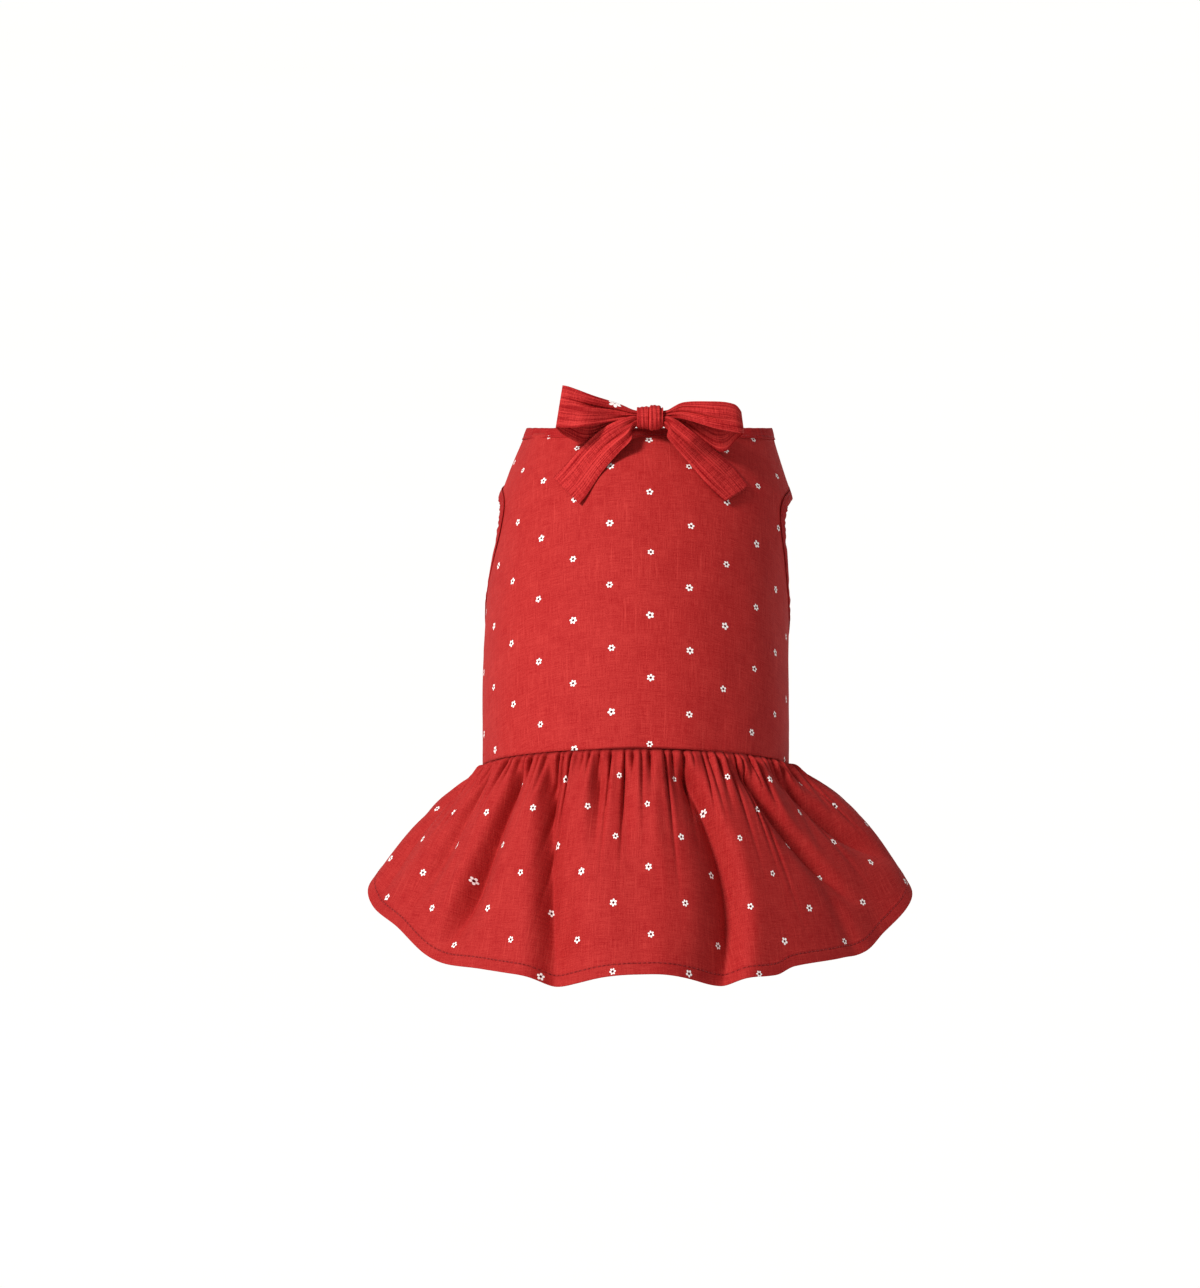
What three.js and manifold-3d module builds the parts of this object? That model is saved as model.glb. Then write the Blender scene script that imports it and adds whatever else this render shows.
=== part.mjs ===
// A pet dress: a sleeveless bodice, a gathered skirt and a bow at the back of the neck.
// Millimetres. X to the right seen from behind, Y towards the chest side, Z up.
// The origin is the centre of the neck opening. The waist seam lies below and behind it.

import * as THREE from 'three';
import { mergeVertices } from 'three/addons/utils/BufferGeometryUtils.js';
import Module from 'manifold-3d';

// Sizes of the bodice
const HALF_WIDTH = 112;
const BACK_LENGTH = 257.5;
const BACK_DEPTH = 118;
const FRONT_DEPTH = 125;
const LEAN_AT_WAIST = 28;
const LEAN_AT_NECK = 39.5;
const NECK_SHIFT = 10;
const BODICE_WALL = 1.4;
const SIDE_SEAM_ANGLE = 100;

// Sizes of the armholes, as seen from the side
const ARMHOLE_LENGTH = 102;
const ARMHOLE_HEIGHT = 102;
const ARMHOLE_REAR = 170;
const ARMHOLE_TOP = 152;
// The left armhole starts this much further forward, because the cloth sits a little twisted
const ARMHOLE_LEFT_STEP = 12;
const ARMHOLE_CORNER_POWER = 5;
const ARMHOLE_ROUND_POWER = 2.4;

// Sizes of the narrow bindings
const BINDING_WIDTH = 7;
const BINDING_WALL = 2;

// Sizes of the skirt
const SKIRT_LENGTH = 179;
const SKIRT_WALL = 1.2;
const SKIRT_BULGE = 10;
const FOLD_DEPTH = 14;
const GATHER_DEPTH = 2.4;
const GATHER_COUNT = 34;

// Shares of the skirt's length: where folds and gathers reach their depth and over what they fade.
// The top share is how deep and wide a fold is at the seam, the crowding how close the first rows of
// faces are, and the lean how much fuller the bulge is near the seam.
const FOLD_START = 0.14;
const FOLD_FADE = 0.45;
const FOLD_TOP_SHARE = 0.70;
const GATHER_START = 0.035;
const GATHER_FADE = 0.13;
const SKIRT_ROW_CROWDING = 0.35;
const BULGE_LEAN = 0.5;

// Sizes of the bow
const BOW_LEFT_REACH = 63;
const BOW_RIGHT_REACH = 68.5;
const BOW_RISE = 12;
const BOW_WALL = 1.2;
const LOOP_SWELL = 11;
const LOOP_LOWER_SWELL = 1.15;
const LOOP_UPPER_SWELL = 0.65;
const KNOT_WIDTH = 19;
const KNOT_HEIGHT = 18;
const KNOT_DEPTH = 17;
const KNOT_WALL = 2;
const KNOT_PINCH = 0.1;
const KNOT_ROUND_POWER = 0.8;
const TAIL_REACH = 62;
const TAIL_LIFT = 4.5;
const TAIL_TOP = 3.6;
const TAIL_CROWN = 1.6;
const TAIL_CROWN_START = 0.3;

// Clearance between pieces that lie against one another
const GAP = 0.35;

// The view height of a point is how high it stands in a view from behind, tipped down this much
const VIEW_TIP = 9;

// Faces around or across, and along, for each piece
const BACK_FACES = [34, 12];
const CHEST_FACES = [24, 11];
const ARMHOLE_FACES = [48, 1];
const NECK_FACES = [48, 1];
const SKIRT_FACES = [112, 9];
const KNOT_FACES = [24, 4];
const LOOP_FACES = [28, 5];
const TAIL_FACES = [5, 18];
const ARMHOLE_CUT_STEPS = 56;

// Small steps for slopes and searches, and the distance under which corners are joined
const SHARE_STEP = 0.004;
const ANGLE_STEP = 0.5;
const SEARCH_ROUNDS = 12;
const WELD = 1e-4;

// Makes one object with named fields from each row
function table(names, rows) {
  return rows.map((row) => Object.fromEntries(names.map((name, at) => [name, row[at]])));
}

// Level sections of the bodice from waist to neck.
// share: along the back. tilt: degrees down towards the chest. The rest are shares of the sizes.
const BODICE_SECTIONS = table(['share', 'tilt', 'width', 'back', 'front', 'shift'], [
  [0.00, 16.0, 0.995, 1.00, 1.00, 0.00],
  [0.17, 16.5, 1.000, 1.01, 1.05, 0.00],
  [0.36, 17.5, 0.998, 1.01, 1.10, 0.03],
  [0.53, 18.0, 0.996, 1.00, 1.12, 0.15],
  [0.70, 17.5, 0.984, 0.97, 1.04, 0.50],
  [0.82, 15.5, 0.968, 0.91, 0.92, 0.72],
  [0.89, 13.0, 0.910, 0.84, 0.84, 0.78],
  [0.95, 10.0, 0.850, 0.77, 0.75, 0.90],
  [1.00, 7.5, 0.804, 0.72, 0.69, 1.00],
]);

// The skirt around the waist. angle: around the seam from the centre back, right is positive.
// heading: the way the cloth runs out, from straight back. drop: degrees below level.
// length, bulge: shares of the skirt's length and of its bulge.
const SKIRT_SECTIONS = table(['angle', 'heading', 'drop', 'length', 'bulge'], [
  [-112, -104, 40, 0.45, 0.75],
  [-101, -86, 43, 0.60, 0.8],
  [-90, -70, 44, 0.72, 0.8],
  [-75, -56, 55, 0.775, 0.75],
  [-60, -40, 60, 0.88, 0.8],
  [-45, -25, 60, 0.92, 0.9],
  [-22, -12, 58, 0.975, 1],
  [0, 0, 58, 0.965, 1.0],
  [24, 13, 58, 0.97, 1.0],
  [38, 21, 60, 0.95, 1],
  [45, 25, 60, 0.91, 1.0],
  [60, 40, 59, 0.88, 1.0],
  [68, 48, 57, 0.865, 1],
  [75, 57, 54, 0.81, 1.1],
  [90, 69, 43, 0.735, 1.2],
  [101, 80, 40, 0.62, 1.2],
  [112, 95, 36, 0.50, 1.1],
]);

// The main folds of the skirt, each a valley. top, hem: angles at the seam and at the hem.
// depth: share of the fold depth. wide: degrees either side at the hem. end: how far down it runs.
// skew: above zero the left side of the valley is the gentle one, below zero the right side.
// sway: degrees that the middle of the valley lies to the right of a straight line.
const SKIRT_FOLDS = table(['top', 'hem', 'depth', 'wide', 'end', 'skew', 'sway'], [
  [-92, -88, 0.60, 7, 1.30, -0.2, 0],
  [-66, -74, 0.60, 4.5, 0.95, -0.3, 0],
  [-46, -58, 1.15, 5, 1.05, -0.3, 0],
  [-32, -22, 1.35, 7.5, 1.60, -0.3, 0],
  [-13, -12, 0.75, 3.5, 0.55, 0, 0],
  [-4, -3, 0.60, 3.5, 0.60, 0.2, 0],
  [13, 23, 1.40, 7, 1.60, 0.35, 8],
  [37, 79, 0.95, 4.5, 0.85, 0.3, 0],
  [58, 100, 0.75, 5, 0.85, 0.3, 0],
]);

// The two loops of the bow. share: out along the front layer and back along the rear layer.
// out: share of the reach. upper, lower: edges as shares of the rise. swell: share of the swell.
const LEFT_LOOP = table(['share', 'outUpper', 'outLower', 'upper', 'lower', 'swell'], [
  [0.00, 0.05, 0.05, 0.40, 0.05, 0.17],
  [0.07, 0.18, 0.18, 0.42, 0.05, 0.18],
  [0.16, 0.38, 0.40, 0.90, -0.15, 0.26],
  [0.30, 0.68, 0.78, 1.48, -0.40, 1.00],
  [0.42, 0.93, 1.00, 1.95, -0.50, 0.72],
  [0.50, 1.01, 1.09, 2.00, -0.62, 0.10],
  [0.58, 0.95, 0.97, 1.85, -1.25, -0.50],
  [0.72, 0.68, 0.72, 1.35, -1.65, -0.62],
  [0.86, 0.36, 0.36, 0.80, -0.50, -0.40],
  [0.93, 0.18, 0.18, 0.42, 0.05, -0.18],
  [1.00, 0.05, 0.05, 0.40, 0.05, -0.17],
]);
const RIGHT_LOOP = table(['share', 'outUpper', 'outLower', 'upper', 'lower', 'swell'], [
  [0.00, 0.05, 0.05, 0.40, 0.05, 0.17],
  [0.07, 0.17, 0.17, 0.42, 0.05, 0.18],
  [0.16, 0.35, 0.36, 0.95, -0.05, 0.28],
  [0.30, 0.64, 0.68, 1.08, -0.50, 1.00],
  [0.42, 0.88, 0.93, 0.92, -0.82, 0.75],
  [0.50, 0.97, 1.00, 0.35, -0.95, 0.10],
  [0.58, 0.90, 0.93, 0.80, -1.42, -0.50],
  [0.72, 0.66, 0.74, 0.95, -2.15, -0.45],
  [0.86, 0.36, 0.36, 0.80, -0.50, -0.40],
  [0.93, 0.18, 0.18, 0.42, 0.05, -0.18],
  [1.00, 0.05, 0.05, 0.40, 0.05, -0.17],
]);

// Where a tail lies inside the knot. out: share of half the knot's width. upper, lower: edges as
// shares of half the hollow's height. near: share of half its depth, towards the viewer behind.
const TAIL_ROOT = table(['out', 'upper', 'lower', 'near'], [
  [0.40, 0.24, -0.75, 0.66],
  [1.05, 0.25, -0.72, 0.68],
  [1.40, 0.28, -1.15, 0.80],
]);

// The two tails. outUpper, dropUpper: the upper edge as shares of the reach, likewise the lower edge.
// liftUpper, liftLower: shares of the lift off the back.
const TAIL_COLUMNS = ['outUpper', 'dropUpper', 'liftUpper', 'outLower', 'dropLower', 'liftLower'];
const LEFT_TAIL = table(TAIL_COLUMNS, [
  [0.36, -0.03, 5.20, 0.22, 0.20, 3.20],
  [0.56, 0.07, 4.60, 0.37, 0.36, 1.80],
  [0.80, 0.28, 1.10, 0.57, 0.59, 0.60],
  [0.98, 0.48, 0.75, 0.75, 0.86, 0.75],
  [1.14, 0.65, 1.10, 0.83, 0.96, 1.10],
]);
const RIGHT_TAIL = table(TAIL_COLUMNS, [
  [0.32, -0.02, 5.40, 0.20, 0.17, 3.20],
  [0.52, 0.13, 5.20, 0.32, 0.32, 1.90],
  [0.74, 0.31, 1.80, 0.48, 0.51, 0.60],
  [0.95, 0.48, 0.70, 0.67, 0.73, 0.70],
  [1.17, 0.75, 1.00, 0.89, 0.93, 1.00],
]);

const radians = (degrees) => THREE.MathUtils.degToRad(degrees);
const clamp = (value) => Math.min(1, Math.max(0, value));
const ease = (value) => clamp(value) * clamp(value) * (3 - 2 * clamp(value));

// Smooth value of one column of a table, read by another column
function column(rows, key, name, at) {
  const last = rows.length - 1;
  const held = Math.min(rows[last][key], Math.max(rows[0][key], at));
  let left = 0;
  while (left < last - 1 && rows[left + 1][key] < held) left += 1;
  const slope = (from, to) => (rows[to][name] - rows[from][name]) / (rows[to][key] - rows[from][key]);
  const step = rows[left + 1][key] - rows[left][key];
  const t = (held - rows[left][key]) / step;
  const rising = slope(Math.max(0, left - 1), left + 1) * step;
  const leaving = slope(left, Math.min(last, left + 2)) * step;
  const low = rows[left][name];
  const high = rows[left + 1][name];
  const a = 2 * low - 2 * high + rising + leaving;
  const b = -3 * low + 3 * high - 2 * rising - leaving;
  return ((a * t + b) * t + rising) * t + low;
}

// A point of the centre back line, before the origin is moved to the neck
function backLine(share) {
  const start = radians(LEAN_AT_WAIST);
  const turn = radians(LEAN_AT_NECK - LEAN_AT_WAIST);
  const lean = start + turn * share;
  const y = BACK_LENGTH / turn * (Math.cos(start) - Math.cos(lean));
  const z = BACK_LENGTH / turn * (Math.sin(lean) - Math.sin(start));
  return { y, z };
}

// A point of the bodice, before the origin is moved to the neck
function rawBodicePoint(share, angle) {
  const read = (name) => column(BODICE_SECTIONS, 'share', name, share);
  const back = backLine(share);
  const tilt = radians(read('tilt'));
  const turn = radians(angle);
  const rear = read('back') * BACK_DEPTH;
  const reach = Math.cos(turn) > 0 ? rear : read('front') * FRONT_DEPTH;
  const depth = rear - reach * Math.cos(turn);
  const x = read('shift') * NECK_SHIFT + read('width') * HALF_WIDTH * Math.sin(turn);
  return new THREE.Vector3(x, back.y + depth * Math.cos(tilt), back.z - depth * Math.sin(tilt));
}

const NECK_CENTRE = rawBodicePoint(1, 90).add(rawBodicePoint(1, -90)).multiplyScalar(0.5);

// A point of the middle of the bodice cloth
function bodicePoint(share, angle) {
  return rawBodicePoint(share, angle).sub(NECK_CENTRE);
}

// The outward normal of a surface given by two numbers
function surfaceNormal(surface, u, v, stepU, stepV) {
  const across = surface(u + stepU, v).sub(surface(u - stepU, v));
  const along = surface(u, v + stepV).sub(surface(u, v - stepV));
  return across.cross(along).normalize();
}

function bodiceNormal(share, angle) {
  const surface = (a, s) => bodicePoint(s, a);
  return surfaceNormal(surface, angle, share, ANGLE_STEP, SHARE_STEP);
}

// How high a point stands in the view from behind
function viewHeight(point) {
  return point.z * Math.cos(radians(VIEW_TIP)) + point.y * Math.sin(radians(VIEW_TIP));
}

// The way towards the viewer of that view
const TO_VIEWER = new THREE.Vector3(0, -Math.cos(radians(VIEW_TIP)), Math.sin(radians(VIEW_TIP)));

// Finds the share and angle of the bodice where two measures come to zero
function findOnBodice(share, angle, measure) {
  let at = { share, angle };
  for (let round = 0; round < SEARCH_ROUNDS; round += 1) {
    const here = measure(bodicePoint(at.share, at.angle));
    const up = measure(bodicePoint(at.share + SHARE_STEP, at.angle));
    const aside = measure(bodicePoint(at.share, at.angle + ANGLE_STEP));
    const a = (up[0] - here[0]) / SHARE_STEP;
    const b = (aside[0] - here[0]) / ANGLE_STEP;
    const c = (up[1] - here[1]) / SHARE_STEP;
    const d = (aside[1] - here[1]) / ANGLE_STEP;
    const scale = a * d - b * c;
    at = {
      share: at.share - (d * here[0] - b * here[1]) / scale,
      angle: at.angle - (a * here[1] - c * here[0]) / scale,
    };
  }
  return at;
}

// A closed solid from a box whose every corner is placed by a function of three shares.
// A ring leaves out the two end faces, so its ends meet.
function placedBox(faces, place, ring) {
  const [across, along] = faces;
  const box = new THREE.BoxGeometry(1, 1, 1, across, along, 1);
  if (ring) {
    const endCorners = 2 * along * 2 * 3;
    box.setIndex(Array.from(box.index.array).slice(endCorners));
  }
  const spot = box.attributes.position;
  for (let i = 0; i < spot.count; i += 1) {
    const u = spot.getX(i) + 0.5;
    const atRingEnd = ring && u > 1 - 0.5 / across;
    const point = place(atRingEnd ? 0 : u, spot.getY(i) + 0.5, spot.getZ(i) * 2);
    spot.setXYZ(i, point.x, point.y, point.z);
  }
  box.deleteAttribute('normal');
  box.deleteAttribute('uv');
  box.clearGroups();
  return mergeVertices(box, WELD);
}

// A sheet of cloth of even thickness around a middle surface
function sheet(faces, surface, thickness) {
  const [across, along] = faces;
  const place = (u, v, side) => {
    const normal = surfaceNormal(surface, u, v, 0.5 / across, 0.5 / along);
    return surface(u, v).addScaledVector(normal, side * thickness / 2);
  };
  return placedBox(faces, place, false);
}

const wasm = await Module();
wasm.setup();

// The same geometry as a solid body that can be cut
function toSolid(geometry) {
  const vertProperties = Float32Array.from(geometry.attributes.position.array);
  const triVerts = Uint32Array.from(geometry.index.array);
  return new wasm.Manifold(new wasm.Mesh({ numProp: 3, vertProperties, triVerts }));
}

// The geometry of a cut body
function toGeometry(solid) {
  const mesh = solid.getMesh();
  const geometry = new THREE.BufferGeometry();
  geometry.setAttribute('position', new THREE.BufferAttribute(Float32Array.from(mesh.vertProperties), 3));
  geometry.setIndex(Array.from(mesh.triVerts));
  return geometry;
}

// A point of the armhole outline seen from the side. side: -1 left, 1 right. grow: outward, in mm.
function armholePoint(side, turn, grow) {
  const rear = ARMHOLE_REAR - NECK_CENTRE.y + (side < 0 ? ARMHOLE_LEFT_STEP : 0);
  const middleY = rear + ARMHOLE_LENGTH / 2;
  const middleZ = ARMHOLE_TOP - NECK_CENTRE.z - ARMHOLE_HEIGHT / 2;
  const c = Math.cos(turn);
  const s = Math.sin(turn);
  const power = 2 / (c < 0 && s > 0 ? ARMHOLE_CORNER_POWER : ARMHOLE_ROUND_POWER);
  const y = middleY + (ARMHOLE_LENGTH / 2 + grow) * Math.sign(c) * Math.abs(c) ** power;
  const z = middleZ + (ARMHOLE_HEIGHT / 2 + grow) * Math.sign(s) * Math.abs(s) ** power;
  return { y, z };
}

// A straight bar with the armhole's outline, for cutting a panel
function armholeTool(side) {
  const outline = [];
  for (let i = 0; i < ARMHOLE_CUT_STEPS; i += 1) {
    const at = armholePoint(side, 2 * Math.PI * i / ARMHOLE_CUT_STEPS, BINDING_WIDTH + GAP);
    outline.push(new THREE.Vector2(at.y, at.z));
  }
  const reach = 2 * HALF_WIDTH;
  const bar = new THREE.ExtrudeGeometry(new THREE.Shape(outline), { depth: reach, bevelEnabled: false });
  const toX = new THREE.Matrix4().makeBasis(
    new THREE.Vector3(0, 1, 0),
    new THREE.Vector3(0, 0, 1),
    new THREE.Vector3(1, 0, 0),
  );
  bar.applyMatrix4(toX);
  bar.translate(side > 0 ? HALF_WIDTH / 4 : -HALF_WIDTH / 4 - reach, 0, 0);
  bar.deleteAttribute('normal');
  bar.deleteAttribute('uv');
  return toSolid(mergeVertices(bar, WELD));
}

const neckBindingShare = 1 - BINDING_WIDTH / BACK_LENGTH;
const panelTopShare = neckBindingShare - GAP / BACK_LENGTH;
const seamHalfGap = THREE.MathUtils.radToDeg(GAP / 2 / HALF_WIDTH);

// One panel of the bodice between two angles, with the armholes cut out
function bodicePanel(from, to, faces) {
  const surface = (u, v) => bodicePoint(v * panelTopShare, from + (to - from) * u);
  const blank = toSolid(sheet(faces, surface, BODICE_WALL));
  return toGeometry(blank.subtract(armholeTool(-1)).subtract(armholeTool(1)));
}

function backPanel() {
  const half = SIDE_SEAM_ANGLE - seamHalfGap;
  return bodicePanel(-half, half, BACK_FACES);
}

function chestPanel() {
  const from = SIDE_SEAM_ANGLE + seamHalfGap;
  return bodicePanel(from, 360 - from, CHEST_FACES);
}

// The folded edge around one armhole, lying in the cloth of the bodice
function armholeBinding(side) {
  const corner = (turn, grow, face) => {
    const edge = armholePoint(side, turn, grow);
    const measure = (point) => [point.y - edge.y, point.z - edge.z];
    const at = findOnBodice(0.6, side * 90, measure);
    const normal = bodiceNormal(at.share, at.angle);
    const middle = bodicePoint(at.share, at.angle);
    return new THREE.Vector3(middle.x + face * side * BINDING_WALL / 2 / Math.abs(normal.x), edge.y, edge.z);
  };
  const place = (u, v, face) => corner(-side * 2 * Math.PI * u, v * BINDING_WIDTH, face);
  return placedBox(ARMHOLE_FACES, place, true);
}

// The folded edge around the neck
function neckBinding() {
  const place = (u, v, face) => {
    const share = neckBindingShare + (1 - neckBindingShare) * v;
    const angle = 360 * u;
    return bodicePoint(share, angle).addScaledVector(bodiceNormal(share, angle), face * BINDING_WALL / 2);
  };
  return placedBox(NECK_FACES, place, true);
}

// The angle around the waist seam at which the skirt ends on each side
const skirtEdgeAngle = SKIRT_SECTIONS[SKIRT_SECTIONS.length - 1].angle;

// How far the skirt stands out from its plain surface because of folds and gathers
function skirtRelief(angle, along) {
  let relief = 0;
  for (const fold of SKIRT_FOLDS) {
    const swayed = fold.sway * 4 * along * (1 - along);
    const centre = THREE.MathUtils.lerp(fold.top, fold.hem, along) + swayed;
    const half = fold.wide * THREE.MathUtils.lerp(FOLD_TOP_SHARE, 1, along);
    const gentle = 1 - Math.sign(angle - centre) * fold.skew;
    const away = (angle - centre) / half / gentle;
    const strength = ease(along / FOLD_START) * ease((fold.end - along) / FOLD_FADE);
    const depth = fold.depth * FOLD_DEPTH * THREE.MathUtils.lerp(FOLD_TOP_SHARE, 1, along);
    relief -= depth * strength * Math.exp(-away * away);
  }
  const wave = Math.sin(Math.PI * GATHER_COUNT * angle / skirtEdgeAngle + Math.sin(angle * 0.4));
  const fade = ease(along / GATHER_START) * Math.exp(-along / GATHER_FADE);
  return relief + GATHER_DEPTH * wave * fade;
}

// A point of the middle of the skirt cloth
function skirtPoint(angle, along) {
  const read = (name) => column(SKIRT_SECTIONS, 'angle', name, angle);
  const heading = radians(read('heading'));
  const drop = radians(read('drop'));
  const away = new THREE.Vector3(Math.sin(heading), -Math.cos(heading), 0);
  const down = away.clone().multiplyScalar(Math.cos(drop)).setZ(-Math.sin(drop));
  const out = away.clone().multiplyScalar(Math.sin(drop)).setZ(Math.cos(drop));
  const arch = 4 * along * (1 - along) * (1 + BULGE_LEAN * (0.5 - along));
  const bulge = read('bulge') * SKIRT_BULGE * arch;
  const start = bodicePoint(0, angle);
  start.z -= GAP + BODICE_WALL / 2 + SKIRT_WALL / 2;
  start.addScaledVector(down, read('length') * SKIRT_LENGTH * along);
  return start.addScaledVector(out, bulge + skirtRelief(angle, along));
}

// The skirt. Its rows of faces lie closer together near the seam, where the gathers are.
function skirt() {
  const surface = (u, v) => {
    const along = (1 - v) * THREE.MathUtils.lerp(SKIRT_ROW_CROWDING, 1, 1 - v);
    return skirtPoint(skirtEdgeAngle * (2 * u - 1), along);
  };
  return sheet(SKIRT_FACES, surface, SKIRT_WALL);
}

// The middle of the knot: it stands on the neck binding, behind it and a little above
function knotCentre() {
  const edge = bodicePoint(1, 0);
  const behind = KNOT_DEPTH / 2 + BINDING_WALL / 2 + GAP;
  return new THREE.Vector3(edge.x, edge.y - behind, edge.z + KNOT_HEIGHT / 2 + GAP);
}

// Half the size of the knot across its ends, where it is drawn in
const knotEndHeight = KNOT_HEIGHT / 2 * (1 - KNOT_PINCH);
const knotEndDepth = KNOT_DEPTH / 2 * (1 - KNOT_PINCH);

// The knot: a short band wrapped around the middle of the bow, open at its two ends
function bowKnot() {
  const centre = knotCentre();
  const place = (u, v, face) => {
    const turn = 2 * Math.PI * u;
    const belly = KNOT_PINCH * Math.sin(Math.PI * v);
    const inset = face < 0 ? KNOT_WALL : 0;
    const square = (value) => Math.sign(value) * Math.abs(value) ** KNOT_ROUND_POWER;
    const y = (knotEndDepth + belly * KNOT_DEPTH / 2 - inset) * square(Math.cos(turn));
    const z = (knotEndHeight + belly * KNOT_HEIGHT / 2 - inset) * square(Math.sin(turn));
    return new THREE.Vector3(centre.x + KNOT_WIDTH * (v - 0.5), centre.y + y, centre.z + z);
  };
  return placedBox(KNOT_FACES, place, true);
}

// A loop of the bow: a band that runs out from the knot, turns over and comes back behind
function bowLoop(rows, side, reach) {
  const centre = knotCentre();
  const surface = (u, v) => {
    const share = side > 0 ? u : 1 - u;
    const read = (name) => column(rows, 'share', name, share);
    const out = THREE.MathUtils.lerp(read('outLower'), read('outUpper'), v);
    const rise = THREE.MathUtils.lerp(read('lower'), read('upper'), v);
    const open = LOOP_SWELL * read('swell') * THREE.MathUtils.lerp(LOOP_LOWER_SWELL, LOOP_UPPER_SWELL, v);
    return new THREE.Vector3(centre.x + side * reach * out, centre.y - open, centre.z + BOW_RISE * rise);
  };
  return sheet(LOOP_FACES, surface, BOW_WALL);
}

// One edge of a tail: from inside the knot, then down over the back
function tailEdge(rows, side, edge) {
  const centre = knotCentre();
  const inKnot = TAIL_ROOT.map((row) => new THREE.Vector3(
    centre.x + side * row.out * KNOT_WIDTH / 2,
    centre.y - row.near * (knotEndDepth - KNOT_WALL),
    centre.z + row[edge.toLowerCase()] * (knotEndHeight - KNOT_WALL),
  ));
  const onBack = rows.map((row) => {
    const x = centre.x + side * TAIL_REACH * row[`out${edge}`];
    const height = viewHeight(centre) - TAIL_TOP - TAIL_REACH * row[`drop${edge}`];
    const at = findOnBodice(0.9, side * 15, (point) => [point.x - x, viewHeight(point) - height]);
    const lift = TAIL_LIFT * row[`lift${edge}`];
    return bodicePoint(at.share, at.angle).addScaledVector(TO_VIEWER, lift);
  });
  return new THREE.CatmullRomCurve3([...inKnot, ...onBack], false, 'centripetal');
}

// A tail of the bow: a flat band that runs down over the back
function bowTail(rows, side) {
  const upper = tailEdge(rows, side, 'Upper');
  const lower = tailEdge(rows, side, 'Lower');
  const surface = (u, v) => {
    const share = clamp(v);
    const across = side < 0 ? u : 1 - u;
    const point = lower.getPoint(share).lerp(upper.getPoint(share), across);
    point.y -= TAIL_CROWN * Math.sin(Math.PI * clamp(u)) * ease(share / TAIL_CROWN_START);
    return point;
  };
  return sheet(TAIL_FACES, surface, BOW_WALL);
}

// A named mesh with its own cloth finish
function piece(name, geometry, colour, roughness) {
  geometry.computeVertexNormals();
  const material = new THREE.MeshStandardMaterial({ color: colour, roughness, metalness: 0 });
  material.side = THREE.FrontSide;
  const mesh = new THREE.Mesh(geometry, material);
  mesh.name = name;
  return mesh;
}

const PRINTED_RED = 0xb92c30;
const BINDING_RED = 0xa0242a;
const BOW_RED = 0xb02a2f;
const CLOTH_ROUGHNESS = 0.86;

function buildDress() {
  const dress = new THREE.Group();
  dress.name = 'dog_dress';
  dress.add(piece('bodice_back', backPanel(), PRINTED_RED, CLOTH_ROUGHNESS));
  dress.add(piece('bodice_chest', chestPanel(), PRINTED_RED, CLOTH_ROUGHNESS));
  dress.add(piece('neck_binding', neckBinding(), BINDING_RED, CLOTH_ROUGHNESS));
  dress.add(piece('armhole_binding_left', armholeBinding(-1), BINDING_RED, CLOTH_ROUGHNESS));
  dress.add(piece('armhole_binding_right', armholeBinding(1), BINDING_RED, CLOTH_ROUGHNESS));
  dress.add(piece('skirt', skirt(), PRINTED_RED, CLOTH_ROUGHNESS));
  dress.add(piece('bow_knot', bowKnot(), BOW_RED, CLOTH_ROUGHNESS));
  dress.add(piece('bow_loop_left', bowLoop(LEFT_LOOP, -1, BOW_LEFT_REACH), BOW_RED, CLOTH_ROUGHNESS));
  dress.add(piece('bow_loop_right', bowLoop(RIGHT_LOOP, 1, BOW_RIGHT_REACH), BOW_RED, CLOTH_ROUGHNESS));
  dress.add(piece('bow_tail_left', bowTail(LEFT_TAIL, -1), BOW_RED, CLOTH_ROUGHNESS));
  dress.add(piece('bow_tail_right', bowTail(RIGHT_TAIL, 1), BOW_RED, CLOTH_ROUGHNESS));
  return dress;
}

export default buildDress();
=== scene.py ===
"""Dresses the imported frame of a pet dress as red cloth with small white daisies.

Metres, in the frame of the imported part: X to the right seen from behind, Y towards the chest side
and Z up, with the origin at the centre of the neck opening. The forms follow the same tables of
shares as the part's source, with finer folds, hems, stitches, bindings and a pleated bow.
"""

import logging
import math
from dataclasses import dataclass
from enum import Enum
from typing import Callable, Optional, Union

import bpy
import numpy as np
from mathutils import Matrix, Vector


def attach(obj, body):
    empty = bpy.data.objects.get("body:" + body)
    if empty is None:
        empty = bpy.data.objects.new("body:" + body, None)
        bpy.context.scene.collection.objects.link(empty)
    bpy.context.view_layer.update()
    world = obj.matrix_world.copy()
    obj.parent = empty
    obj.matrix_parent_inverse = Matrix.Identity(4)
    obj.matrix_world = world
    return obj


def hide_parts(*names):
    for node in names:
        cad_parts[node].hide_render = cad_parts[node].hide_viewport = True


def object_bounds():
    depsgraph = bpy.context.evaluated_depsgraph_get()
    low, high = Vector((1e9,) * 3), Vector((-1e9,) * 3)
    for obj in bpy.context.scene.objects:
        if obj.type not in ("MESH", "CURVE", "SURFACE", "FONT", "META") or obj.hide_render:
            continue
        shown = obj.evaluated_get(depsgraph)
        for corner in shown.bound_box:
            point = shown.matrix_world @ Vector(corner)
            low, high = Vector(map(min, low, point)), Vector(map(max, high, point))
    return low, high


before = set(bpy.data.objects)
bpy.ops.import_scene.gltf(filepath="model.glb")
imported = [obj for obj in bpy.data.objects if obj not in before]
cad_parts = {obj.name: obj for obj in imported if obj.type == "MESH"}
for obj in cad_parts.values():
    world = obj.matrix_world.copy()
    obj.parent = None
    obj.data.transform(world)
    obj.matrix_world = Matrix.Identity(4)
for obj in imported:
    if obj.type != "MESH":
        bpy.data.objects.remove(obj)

logging.basicConfig(level=logging.INFO, format="%(message)s")
log = logging.getLogger("dress")

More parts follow.
